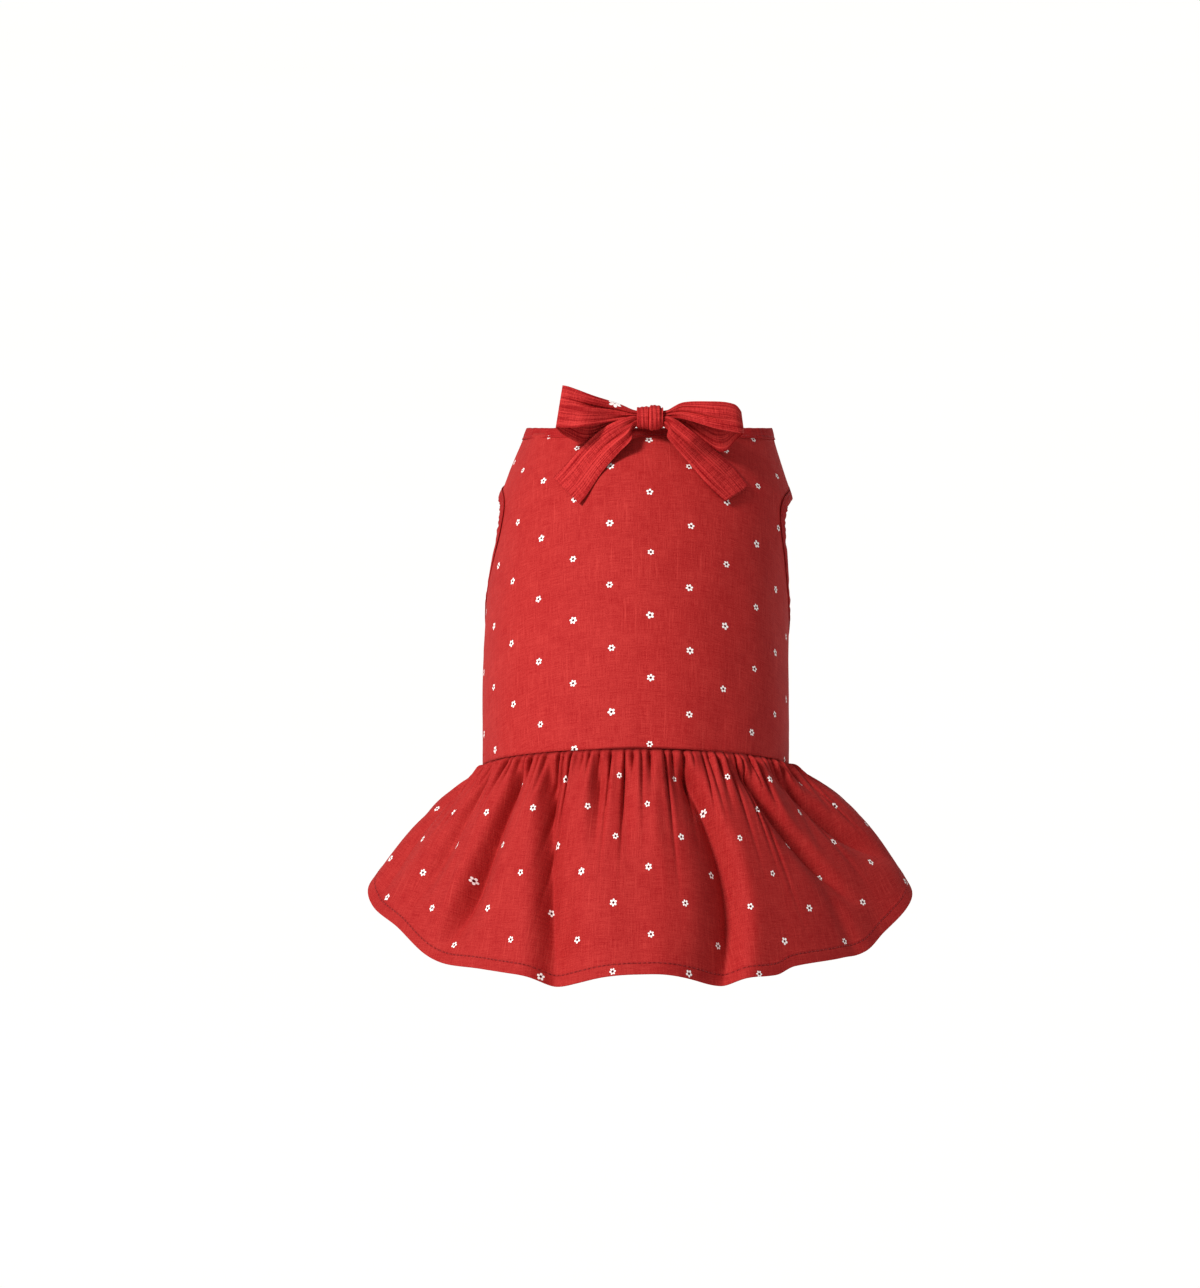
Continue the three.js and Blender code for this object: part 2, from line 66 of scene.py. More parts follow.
Colour = tuple[float, float, float]
Span = tuple[float, float]
Array = np.ndarray
Faces = list[tuple[int, ...]]
Place = Callable[[Array, Array], Array]
Unroll = Callable[[Array, Array, Array], Array]

SEARCH_ROUNDS = 12
SEARCH_SHARE_STEP = 0.001
SEARCH_ANGLE_STEP = 0.1
NORMAL_SHARE_STEP = 0.004
NORMAL_ANGLE_STEP = 0.5
CUT_ROUNDS = 14

START_BOUNDS = [list(corner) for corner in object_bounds()]


class Held(Enum):
    """How a sheet of cloth is held."""

    DRAPED = "draped"
    GATHERED = "gathered"
    FOLDED = "folded"


class Side(Enum):
    """A side of the dress, seen from behind."""

    LEFT = -1
    RIGHT = 1

    @property
    def word(self) -> str:
        """Returns the side's name as the pieces carry it."""
        return self.name.lower()


def smooth_step(value: Array) -> Array:
    """Eases a share from 0 to 1."""
    held = np.clip(value, 0.0, 1.0)
    return held * held * (3 - 2 * held)


def bell(value: Array, power: float = 2.0) -> Array:
    """Returns a soft hump, 1 where the value is 0 and next to nothing where it is 2."""
    return np.exp(-(np.abs(value) ** power))


def unit(vectors: Array) -> Array:
    """Scales vectors to length one."""
    return vectors / np.maximum(np.linalg.norm(vectors, axis=-1, keepdims=True), 1e-12)


def add_object(name: str, data: bpy.types.ID) -> bpy.types.Object:
    """Makes an object from its data and links it to the scene."""
    made = bpy.data.objects.new(name, data)
    bpy.context.scene.collection.objects.link(made)
    return made


@dataclass(frozen=True)
class Table:
    """Rows of chosen values under named columns, read smoothly by the first column."""

    names: tuple[str, ...]
    rows: tuple[tuple[float, ...], ...]

    def column(self, name: str) -> Array:
        """Returns one column's values."""
        return np.array([row[self.names.index(name)] for row in self.rows])

    def read(self, name: str, at: Array) -> Array:
        """Reads a column between its rows.

        Args:
            name: The column.
            at: Where to read, in the first column's measure.

        Returns:
            The smooth value at each place.
        """
        keys = self.column(self.names[0])
        values = self.column(name)
        held = np.clip(np.asarray(at, dtype=float), keys[0], keys[-1])
        last = len(keys) - 1
        left = np.clip(np.searchsorted(keys, held, side="left") - 1, 0, last - 1)
        before = np.maximum(left - 1, 0)
        after = np.minimum(left + 2, last)
        step = keys[left + 1] - keys[left]
        t = (held - keys[left]) / step
        rising = (values[left + 1] - values[before]) / (keys[left + 1] - keys[before]) * step
        leaving = (values[after] - values[left]) / (keys[after] - keys[left]) * step
        low, high = values[left], values[left + 1]
        a = 2 * low - 2 * high + rising + leaving
        b = -3 * low + 3 * high - 2 * rising - leaving
        return ((a * t + b) * t + rising) * t + low


@dataclass(frozen=True)
class Ripples:
    """A soft random relief, made of a few waves in random directions."""

    seed: int
    wavelength: float
    waves: int = 9
    stretch: float = 1.0
    lengths: Span = (0.6, 1.7)
    calming: float = 1.4

    def at(self, u: Array, v: Array) -> Array:
        """Returns the relief, about -1 to 1, at cloth coordinates in metres."""
        rng = np.random.default_rng(self.seed)
        total = np.zeros(np.broadcast(u, v).shape)
        for _ in range(self.waves):
            turn = rng.uniform(0, 2 * math.pi)
            length = self.wavelength * rng.uniform(*self.lengths)
            phase = rng.uniform(0, 2 * math.pi)
            across = math.cos(turn) * u + math.sin(turn) * v / self.stretch
            total = total + np.sin(2 * math.pi * across / length + phase)
        return total / math.sqrt(self.waves) / self.calming


@dataclass(frozen=True)
class BodyForm:
    """The form in which the cloth is held, as it is when worn."""

    half_width: float = 0.112
    back_length: float = 0.2575
    back_depth: float = 0.118
    front_depth: float = 0.125
    lean_at_waist: float = 28.0
    lean_at_neck: float = 39.5
    neck_shift: float = 0.010
    cloth_lean: float = 34.0
    cloth_centre: float = 0.96
    sections: Table = Table(
        ("share", "tilt", "width", "back", "front", "shift"),
        (
            (0.00, 16.0, 0.995, 1.00, 1.00, 0.00),
            (0.17, 16.5, 1.000, 1.01, 1.05, 0.00),
            (0.36, 17.5, 0.998, 1.01, 1.10, 0.03),
            (0.53, 18.0, 0.996, 1.00, 1.12, 0.15),
            (0.70, 17.5, 0.984, 0.97, 1.04, 0.50),
            (0.82, 15.5, 0.968, 0.91, 0.92, 0.72),
            (0.89, 13.0, 0.910, 0.84, 0.84, 0.78),
            (0.95, 10.0, 0.850, 0.77, 0.75, 0.90),
            (1.00, 7.5, 0.804, 0.72, 0.69, 1.00),
        ),
    )

    def back_line(self, share: Array) -> tuple[Array, Array]:
        """Returns Y and Z along the centre back, measured from the waist seam."""
        start = math.radians(self.lean_at_waist)
        turn = math.radians(self.lean_at_neck - self.lean_at_waist)
        lean = start + turn * share
        y = self.back_length / turn * (math.cos(start) - np.cos(lean))
        z = self.back_length / turn * (np.sin(lean) - math.sin(start))
        return y, z

    def raw(self, share: Array, angle: Array) -> Array:
        """Returns points of the bodice measured from the waist seam.

        Args:
            share: How far along the back, 0 at the waist and 1 at the neck.
            angle: Degrees around, 0 at the centre back, positive to the right.

        Returns:
            Points with X, Y and Z in the last axis.
        """
        share, angle = np.broadcast_arrays(np.asarray(share, float), np.asarray(angle, float))
        y, z = self.back_line(share)
        tilt = np.radians(self.sections.read("tilt", share))
        turn = np.radians(angle)
        rear = self.sections.read("back", share) * self.back_depth
        fore = self.sections.read("front", share) * self.front_depth
        depth = rear - np.where(np.cos(turn) > 0, rear, fore) * np.cos(turn)
        width = self.sections.read("width", share) * self.half_width
        x = self.sections.read("shift", share) * self.neck_shift + width * np.sin(turn)
        return np.stack([x, y + depth * np.cos(tilt), z - depth * np.sin(tilt)], axis=-1)

    @property
    def neck_centre(self) -> Array:
        """Returns the neck opening's centre measured from the waist seam."""
        return (self.raw(1.0, 90.0) + self.raw(1.0, -90.0)) / 2

    def point(self, share: Array, angle: Array) -> Array:
        """Returns points of the bodice in the frame."""
        return self.raw(share, angle) - self.neck_centre

    def normal(self, share: Array, angle: Array) -> Array:
        """Returns the outward normals of the bodice."""
        share, angle = np.asarray(share), np.asarray(angle)
        across = self.point(share, angle + NORMAL_ANGLE_STEP) - self.point(share, angle - NORMAL_ANGLE_STEP)
        along = self.point(share + NORMAL_SHARE_STEP, angle) - self.point(share - NORMAL_SHARE_STEP, angle)
        return unit(np.cross(across, along))

    def find(self, share: Array, angle: Array, measure: Callable[[Array], Array]) -> tuple[Array, Array]:
        """Finds where two measures of bodice points come to zero.

        Args:
            share: First guesses.
            angle: First guesses, in degrees.
            measure: Gives two numbers for each point.

        Returns:
            The shares and the angles.
        """
        for _ in range(SEARCH_ROUNDS):
            here = measure(self.point(share, angle))
            by_share = (measure(self.point(share + SEARCH_SHARE_STEP, angle)) - here) / SEARCH_SHARE_STEP
            by_angle = (measure(self.point(share, angle + SEARCH_ANGLE_STEP)) - here) / SEARCH_ANGLE_STEP
            step = np.linalg.solve(np.stack([by_share, by_angle], axis=-1), here[..., None])[..., 0]
            share, angle = share - step[..., 0], angle - step[..., 1]
        return share, angle

    def cloth_uv(self, points: Array) -> Array:
        """Unrolls bodice points to cloth coordinates in metres, from the centre of the waist seam."""
        raw = points + self.neck_centre
        lean = math.radians(self.cloth_lean)
        along = raw[..., 1] * math.sin(lean) + raw[..., 2] * math.cos(lean)
        depth = raw[..., 1] * math.cos(lean) - raw[..., 2] * math.sin(lean)
        around = np.arctan2(raw[..., 0], self.cloth_centre * self.half_width - depth)
        return np.stack([self.half_width * around, along], axis=-1)


BODY = BodyForm()


@dataclass(frozen=True)
class Cloth:
    """The material of a cloth's outer face and, where it differs, of its reverse."""

    face: bpy.types.Material
    reverse: Optional[bpy.types.Material] = None


@dataclass
class ClothPatch:
    """A piece of cloth, built as a fine grid over a surface given by two shares."""

    name: str
    surface: Place
    uv: Unroll
    across: int
    along: int
    thickness: float
    keep: Optional[Callable[[Array], Array]] = None
    loop: bool = False
    edge_uv: Optional[Place] = None

    def build(self) -> bpy.types.Object:
        """Builds the mesh with its cloth coordinates and gives it its thickness.

        Returns:
            The new object, linked to the scene.
        """
        columns = self.across if self.loop else self.across + 1
        rows = self.along + 1
        u, v = np.meshgrid(np.arange(columns) / self.across, np.arange(rows) / self.along, indexing="ij")
        index = np.arange(columns * rows).reshape(columns, rows)
        following = np.roll(index, -1, axis=0) if self.loop else index[1:]
        first = index if self.loop else index[:-1]
        corners = [first[:, :-1], following[:, :-1], following[:, 1:], first[:, 1:]]
        faces = [tuple(quad) for quad in np.stack(corners, axis=-1).reshape(-1, 4).tolist()]
        shares = np.stack([u.reshape(-1), v.reshape(-1)], axis=-1)
        flat = self._values(shares)
        if self.keep is not None:
            faces, flat = self._trim(faces, flat, shares)
        return self._to_object(faces, flat)

    def _values(self, shares: Array) -> list[Array]:
        """Returns points, cloth coordinates and edge coordinates at pairs of shares."""
        u, v = shares[:, 0], shares[:, 1]
        points = self.surface(u, v)
        cloth = self.uv(u, v, points)
        return [points, cloth, self.edge_uv(u, v) if self.edge_uv else cloth]

    def _trim(self, faces: Faces, flat: list[Array], shares: Array) -> tuple[Faces, list[Array]]:
        """Cuts away what the keep function calls negative, along a smooth edge.

        Args:
            faces: The grid's faces.
            flat: Points, cloth coordinates and edge coordinates.
            shares: The two shares of each point.

        Returns:
            The faces and values that are left, with new ones along the cut.
        """
        value = self.keep(flat[0])
        added: list[Array] = []
        cuts: dict[tuple[int, int], int] = {}

        def cut(a: int, b: int) -> int:
            """Returns the point where the line between two points is cut."""
            key = (min(a, b), max(a, b))
            if key not in cuts:
                inside, outside = (shares[a], shares[b]) if value[a] > 0 else (shares[b], shares[a])
                for _ in range(CUT_ROUNDS):
                    middle = (inside + outside) / 2
                    kept = self.keep(self.surface(middle[0], middle[1])) > 0
                    inside, outside = (middle, outside) if kept else (inside, middle)
                cuts[key] = len(shares) + len(added)
                added.append(inside)
            return cuts[key]

        left: Faces = []
        for face in faces:
            kept = [value[i] > 0 for i in face]
            if all(kept):
                left.append(face)
            elif any(kept):
                outline: list[int] = []
                for i, a in enumerate(face):
                    b = face[(i + 1) % len(face)]
                    if value[a] > 0:
                        outline.append(a)
                    if (value[a] > 0) != (value[b] > 0):
                        outline.append(cut(a, b))
                left.append(tuple(outline))
        if added:
            extra = self._values(np.array(added))
            flat = [np.concatenate([old, more]) for old, more in zip(flat, extra)]
        return left, flat

    def _to_object(self, faces: Faces, flat: list[Array]) -> bpy.types.Object:
        """Makes the Blender object from faces and values.

        Args:
            faces: The faces, by vertex.
            flat: Points, cloth coordinates and edge coordinates.

        Returns:
            The object.
        """
        points, cloth, edge = flat
        used = np.unique(np.concatenate([np.array(face) for face in faces]))
        moved = {int(old): new for new, old in enumerate(used)}
        mesh = bpy.data.meshes.new(self.name)
        mesh.from_pydata(points[used].tolist(), [], [tuple(moved[i] for i in face) for face in faces])
        corner = np.empty(len(mesh.loops), dtype=np.int32)
        mesh.loops.foreach_get("vertex_index", corner)
        for layer_name, values in (("cloth", cloth), ("edge", edge)):
            layer = mesh.uv_layers.new(name=layer_name)
            layer.data.foreach_set("uv", values[used][corner].astype(np.float32).ravel())
        if self.loop:
            self._close_seam(mesh, cloth[used], edge[used], corner)
        mesh.shade_smooth()
        made = add_object(self.name, mesh)
        thicken = made.modifiers.new("thickness", "SOLIDIFY")
        thicken.thickness = self.thickness
        thicken.offset = 0.0
        thicken.material_offset = 1
        return made

    def _close_seam(self, mesh: bpy.types.Mesh, cloth: Array, edge: Array, corner: Array) -> None:
        """Carries the coordinates of a ring on past its last column, so its print doesn't run back."""
        for layer_name, values in (("cloth", cloth), ("edge", edge)):
            data = values[corner].reshape(-1, 4, 2)
            span = values[:, 0].max() - values[:, 0].min()
            step = span / (self.across - 1)
            crossing = (data[:, :, 0].max(axis=1) - data[:, :, 0].min(axis=1)) > span / 2
            early = data[:, :, 0] < values[:, 0].min() + span / 2
            data[:, :, 0] = np.where(crossing[:, None] & early, data[:, :, 0] + span + step, data[:, :, 0])
            mesh.uv_layers[layer_name].data.foreach_set("uv", data.astype(np.float32).ravel())


@dataclass(frozen=True)
class Armhole:
    """The leg opening of one side, a rounded outline seen from the side."""

    side: Side
    length: float = 0.102
    height: float = 0.102
    rear: float = 0.170
    top: float = 0.152
    left_step: float = 0.012
    corner_power: float = 5.0
    round_power: float = 2.4

    @property
    def middle(self) -> tuple[float, float]:
        """Returns Y and Z of the opening's middle."""
        rear = self.rear - BODY.neck_centre[1] + (self.left_step if self.side is Side.LEFT else 0.0)
        return rear + self.length / 2, self.top - BODY.neck_centre[2] - self.height / 2

    def outline(self, turn: Array, grow: Array) -> tuple[Array, Array]:
        """Returns Y and Z of the outline, let out by grow."""
        c, s = np.cos(turn), np.sin(turn)
        power = 2 / np.where((c < 0) & (s > 0), self.corner_power, self.round_power)
        y, z = self.middle
        return (
            y + (self.length / 2 + grow) * np.sign(c) * np.abs(c) ** power,
            z + (self.height / 2 + grow) * np.sign(s) * np.abs(s) ** power,
        )

    def outside(self, points: Array, grow: float) -> Array:
        """Returns a number above zero where a point of this side lies outside the outline."""
        y, z = self.middle
        a = (points[..., 1] - y) / (self.length / 2 + grow)
        b = (points[..., 2] - z) / (self.height / 2 + grow)
        power = np.where((a < 0) & (b > 0), self.corner_power, self.round_power)
        value = np.abs(a) ** power + np.abs(b) ** power - 1
        return np.where(points[..., 0] * self.side.value > 0, value, 1.0)


@dataclass
class Bodice:
    """The back and chest panels of the bodice, cut out for the armholes."""

    wall: float = 0.0012
    seam_angle: float = 100.0
    seam_gap: float = 0.04
    under_binding: float = 0.0052
    top_share: float = 0.985
    back_faces: tuple[int, int] = (168, 110)
    chest_faces: tuple[int, int] = (120, 90)
    crowding: float = 3.6
    crowding_from: float = 0.205
    relief: float = 0.0011
    drags: tuple[tuple[float, Ripples], ...] = (
        (0.75, Ripples(11, 0.120, stretch=1.8)),
        (0.30, Ripples(12, 0.045, stretch=2.5)),
        (0.06, Ripples(13, 0.018, waves=14)),
    )
    waist_drag: Ripples = Ripples(14, 0.013)
    waist_share: float = 0.28
    waist_reach: float = 0.010
    waist_run: float = 0.1
    sides: tuple[Armhole, ...] = (Armhole(Side.LEFT), Armhole(Side.RIGHT))

    def _relief(self, points: Array) -> Array:
        """Returns the soft drag and lie of the cloth."""
        uv = BODY.cloth_uv(points)
        u, v = uv[..., 0], uv[..., 1]
        lie = sum(share * ripples.at(u, v) for share, ripples in self.drags)
        waist = np.exp(-np.maximum(v, 0) / self.waist_reach) * self.waist_drag.at(u, v * self.waist_run)
        return self.relief * (lie + self.waist_share * waist)

    def _panel(self, name: str, start: float, stop: float, faces: tuple[int, int]) -> bpy.types.Object:
        """Builds one panel.

        Args:
            name: The piece's name.
            start: The first side seam's angle.
            stop: The other side seam's angle.
            faces: Faces around, and from waist to neck.

        Returns:
            The panel.
        """

        def surface(u: Array, v: Array) -> Array:
            """Places the cloth, with its drag, over the body."""
            share, angle = v * self.top_share, start + (stop - start) * u
            plain = BODY.point(share, angle)
            return plain + BODY.normal(share, angle) * self._relief(plain)[..., None]

        def unrolled(u: Array, v: Array, points: Array) -> Array:
            """Returns cloth coordinates, crowded together where the cloth is eased in near the neck."""
            uv = BODY.cloth_uv(points)
            past_front = (start + (stop - start) * u > 180) & (uv[..., 0] < 0)
            around = np.where(past_front, math.tau * BODY.half_width, 0.0)
            crowded = uv[..., 1] + self.crowding * np.maximum(uv[..., 1] - self.crowding_from, 0) ** 2
            return np.stack([uv[..., 0] + around, crowded], axis=-1)

        def keep(points: Array) -> Array:
            """Returns a number above zero outside both armholes."""
            return np.minimum(*(hole.outside(points, self.under_binding) for hole in self.sides))

        return ClothPatch(name, surface, unrolled, *faces, self.wall, keep).build()

    def build(self, cloth: Cloth) -> list[bpy.types.Object]:
        """Builds both panels and dresses them.

        Args:
            cloth: The printed cloth.

        Returns:
            The back and the chest panel.
        """
        half = self.seam_angle - self.seam_gap
        other = half + 2 * self.seam_gap
        back = self._panel("bodice_back_cloth", -half, half, self.back_faces)
        chest = self._panel("bodice_chest_cloth", other, 360 - other, self.chest_faces)
        for made, node, flat, area in (
            (back, "bodice_back", (0.42, 0.27), 0.096),
            (chest, "bodice_chest", (0.36, 0.30), 0.080),
        ):
            dress_piece(made, cloth, node)
        return [back, chest]


@dataclass(frozen=True)
class EdgeRun:
    """One cut edge that a strip is folded over: its names, its way and how its strip puckers."""

    name: str
    node: str
    stitches: str
    place: Unroll
    around: float
    faces: int
    steps: int
    waver: float
    waver_start: float
    lift: float


@dataclass
class FoldedEdge:
    """A narrow strip folded over a cut edge, with its small puckers and a row of stitches."""

    width: float = 0.007
    rise: float = 0.0009
    wall: float = 0.0006
    faces_across: int = 20
    fold_share: float = 0.16
    fold_round: float = 0.0006
    fold_turn: float = 0.9
    rise_share: float = 0.10
    press: float = 0.35
    press_half: float = 0.0007
    pucker: float = 0.00045
    fine_puckers: Ripples = Ripples(21, 0.0085, waves=12, stretch=40)
    soft_puckers: Ripples = Ripples(22, 0.0255, waves=8, stretch=40)
    soft_share: float = 0.6
    stitch_inset: float = 0.0056
    stitch_rise: float = 0.95
    cut_length: float = 2.2
    neck_radius: float = 0.087
    neck_top: float = 0.995

    def profile(self, v: Array) -> tuple[Array, Array]:
        """Returns how far in from the edge and how far off the cloth the strip lies, across the fold."""
        turn = np.pi * (v - 0.5)
        inside = np.abs(v - 0.5) * 2
        flat = np.clip((inside - self.fold_share) / (1 - self.fold_share), 0, 1)
        inset = self.width * flat + self.fold_round * (1 - np.cos(turn * self.fold_turn))
        off = self.rise * np.clip((0.5 - v) / self.rise_share, -1, 1)
        return inset, off * (1 - self.press * bell((inset - self.stitch_inset) / self.press_half))

    def puckers(self, length: Array, v: Array) -> Array:
        """Returns the small puckers along the strip."""
        fine = self.fine_puckers.at(length, v * 0.001)
        soft = self.soft_puckers.at(length, v * 0.001)
        return self.pucker * (fine + self.soft_share * soft) * np.sin(math.pi * np.clip(v, 0, 1)) ** 0.5

    def _strip(
        self, run: EdgeRun, cloth: Cloth, thread: bpy.types.Material
    ) -> tuple[bpy.types.Object, bpy.types.Object]:
        """Builds and dresses the strip over one edge and sews it down.

        Args:
            run: The edge.
            cloth: The plain cloth.
            thread: The stitches' thread.

        Returns:
            The strip and its stitches.
        """

        def surface(u: Array, v: Array) -> Array:
            """Places the puckered strip along the edge."""
            inset, off = self.profile(v)
            wavy = inset + run.waver * self.puckers(run.around * u + run.waver_start, v)
            return run.place(u, wavy, off + run.lift * self.puckers(run.around * u, v))

        def unrolled(u: Array, v: Array, points: Array) -> Array:
            """Returns cloth coordinates: along the strip and across it."""
            return np.stack([run.around * u, self.cut_length * self.width * v], axis=-1)

        patch = ClothPatch(run.name, surface, unrolled, run.faces, self.faces_across, self.wall, loop=True)
        strip = patch.build()
        dress_piece(strip, cloth, run.node)
        steps = np.arange(run.steps) / run.steps
        inset = np.full(steps.shape, self.stitch_inset)
        line = run.place(steps, inset, np.full(steps.shape, self.rise * self.stitch_rise))
        under = run.place(steps, inset, np.zeros(steps.shape))
        return strip, StitchRow(run.stitches).build(line, line - under, thread, closed=True)

    def armhole(self, hole: Armhole, cloth: Cloth, thread: bpy.types.Material) -> None:
        """Builds the strip of one armhole.

        Args:
            hole: The opening.
            cloth: The plain cloth.
            thread: The stitches' thread.
        """
        side = hole.side.value
        word = hole.side.word

        def place(u: Array, grow: Array, off: Array) -> Array:
            """Returns points around the opening, let out by grow and standing off the cloth."""
            y, z = hole.outline(-side * math.tau * u, grow)
            share, angle = BODY.find(
                np.full(np.shape(y), 0.6),
                np.full(np.shape(y), 90.0 * side),
                lambda points: np.stack([points[..., 1] - y, points[..., 2] - z], axis=-1),
            )
            return BODY.point(share, angle) + BODY.normal(share, angle) * off[..., None]

        strip, sewn = self._strip(
            EdgeRun(
                name=f"armhole_edge_{word}",
                node=f"armhole_binding_{word}",
                stitches=f"armhole_stitches_{word}",
                place=place,
                around=math.pi * hole.length,
                faces=300,
                steps=400,
                waver=0.35,
                waver_start=0.3,
                lift=1.0,
            ),
            cloth,
            thread,
        )

    def neck(self, cloth: Cloth, thread: bpy.types.Material) -> None:
        """Builds the strip around the neck.

        Args:
            cloth: The plain cloth.
            thread: The stitches' thread.
        """

        def place(u: Array, inset: Array, off: Array) -> Array:
            """Returns points around the neck, below its edge and standing off the cloth."""
            share, angle = 1 - inset / BODY.back_length, 360 * u
            normal = BODY.normal(np.minimum(share, self.neck_top), angle)
            return BODY.point(share, angle) + normal * off[..., None]

        strip, sewn = self._strip(
            EdgeRun(
                name="neck_edge",
                node="neck_binding",
                stitches="neck_stitches",
                place=place,
                around=math.tau * self.neck_radius,
                faces=420,
                steps=600,
                waver=0.25,
                waver_start=0.5,
                lift=0.6,
            ),
            cloth,
            thread,
        )


@dataclass
class StitchRow:
    """A row of machine stitches, each a short arched thread."""

    name: str
    length: float = 0.0022
    gap: float = 0.0008
    radius: float = 0.00021
    arch: float = 0.00008
    sides: int = 5
    rings: int = 5
    lead: float = 0.15
    bluntness: int = 4
    thin_end: float = 0.12

    def build(
        self, line: Array, outward: Array, thread: bpy.types.Material, closed: bool = False
    ) -> bpy.types.Object:
        """Lays the stitches along a line.

        Args:
            line: Points that the row follows.
            outward: The way off the cloth at each point.
            thread: The thread's material.
            closed: Whether the line meets itself.

        Returns:
            All the stitches as one piece.
        """
        if closed:
            line, outward = np.vstack([line, line[:1]]), np.vstack([outward, outward[:1]])
        run = np.concatenate([[0.0], np.cumsum(np.linalg.norm(np.diff(line, axis=0), axis=1))])
        count = int(run[-1] / (self.length + self.gap))
        starts = (np.arange(count) + self.lead) * run[-1] / count
        share = np.linspace(0, 1, self.rings)
        at = starts[:, None] + share[None, :] * self.length
        centre = np.stack([np.interp(at, run, line[:, axis]) for axis in range(3)], axis=-1)
        up = unit(np.stack([np.interp(at, run, outward[:, axis]) for axis in range(3)], axis=-1))
        aside = unit(np.cross(unit(np.gradient(centre, axis=1)), up))
        centre = centre + up * (self.arch * np.sin(math.pi * share))[None, :, None]
        girth = self.radius * np.sqrt(np.clip(1 - (2 * share - 1) ** self.bluntness, self.thin_end, 1))
        turn = (np.arange(self.sides) * math.tau / self.sides)[:, None]
        offset = np.cos(turn) * aside[:, :, None] + np.sin(turn) * up[:, :, None]
        points = centre[:, :, None] + offset * girth[None, :, None, None]
        index = np.arange(count * self.rings * self.sides).reshape(count, self.rings, self.sides)
        around = np.roll(index, -1, axis=2)
        corners = [index[:, :-1], index[:, 1:], around[:, 1:], around[:, :-1]]
        walls = np.stack(corners, axis=-1).reshape(-1, 4).tolist()
        faces = walls + index[:, -1, ::-1].tolist() + index[:, 0].tolist()
        mesh = bpy.data.meshes.new(self.name)
        mesh.from_pydata(points.reshape(-1, 3).tolist(), [], faces)
        mesh.shade_smooth()
        made = add_object(self.name, mesh)
        made.data.materials.append(thread)
        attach(made, "root")
        return made


def dress_piece(made: bpy.types.Object, finish: Cloth, node: str) -> None:
    """Gives a piece its finish and lets it stand for a node.

    Args:
        made: The piece.
        finish: Its cloth.
        node: The plain solid that it stands for.
    """
    made.data.materials.append(finish.face)
    if finish.reverse is not None:
        made.data.materials.append(finish.reverse)
    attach(made, "root")
    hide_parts(node)


@dataclass(frozen=True)
class Slits:
    """The short slits under the waist seam, each between two small ridges."""

    count: int = 62
    places: Span = (0.15, 0.85)
    depths: Span = (0.0018, 0.0046)
    halves: Span = (0.55, 1.05)
    least_reach: float = 0.07
    more_reach: float = 0.40
    reach_power: float = 1.8
    start: float = 0.02
    fanning: float = 0.25
    ridge: float = 0.65
    ridge_width: float = 2.8
    groove: float = 1.6
    groove_power: float = 1.6

    def at(self, rng: np.random.Generator, widest: float, angle: Array, along: Array) -> Array:
        """Returns the relief of the slits.

        Args:
            rng: Draws their random numbers.
            widest: The angle of the skirt's ends.
            angle: Degrees around the seam.
            along: Share of the way down.

        Returns:
            The relief, below zero in the slits and above it on the ridges.
        """
        relief = np.zeros(np.broadcast(angle, along).shape)
        for count in range(self.count):
            centre = -widest + 2 * widest / self.count * (count + rng.uniform(*self.places))
            depth = rng.uniform(*self.depths)
            half = rng.uniform(*self.halves)
            reach = self.least_reach + self.more_reach * rng.uniform(0, 1) ** self.reach_power
            fade = smooth_step(along / self.start) * bell(along / reach)
            aside = (angle - centre * (1 + self.fanning * along)) / half
            ridge = self.ridge * bell(aside / self.ridge_width)
            relief = relief + depth * fade * (ridge - self.groove * bell(aside, self.groove_power))
        return relief


@dataclass(frozen=True)
class SoftFolds:
    """Low wide folds and hollows here and there on the skirt."""

    count: int = 26
    lean: float = 6.0
    fanning: float = 0.25
    depths: Span = (0.0006, 0.0022)
    halves: Span = (2.0, 4.5)
    middles: Span = (0.15, 0.9)
    reaches: Span = (0.15, 0.4)
    start: float = 0.05

    def at(self, rng: np.random.Generator, widest: float, angle: Array, along: Array) -> Array:
        """Returns the relief of the folds.

        Args:
            rng: Draws their random numbers.
            widest: The angle of the skirt's ends.
            angle: Degrees around the seam.
            along: Share of the way down.

        Returns:
            The relief, to either side of zero.
        """
        relief = np.zeros(np.broadcast(angle, along).shape)
        for _ in range(self.count):
            centre = rng.uniform(-widest, widest)
            lean = rng.uniform(-self.lean, self.lean) + self.fanning * centre
            depth = rng.uniform(*self.depths) * rng.choice([-1, 1])
            half = rng.uniform(*self.halves)
            middle = rng.uniform(*self.middles)
            reach = rng.uniform(*self.reaches)
            fade = smooth_step(along / self.start) * bell((along - middle) / reach)
            relief = relief + depth * fade * bell((angle - centre - lean * (along - middle)) / half)
        return relief


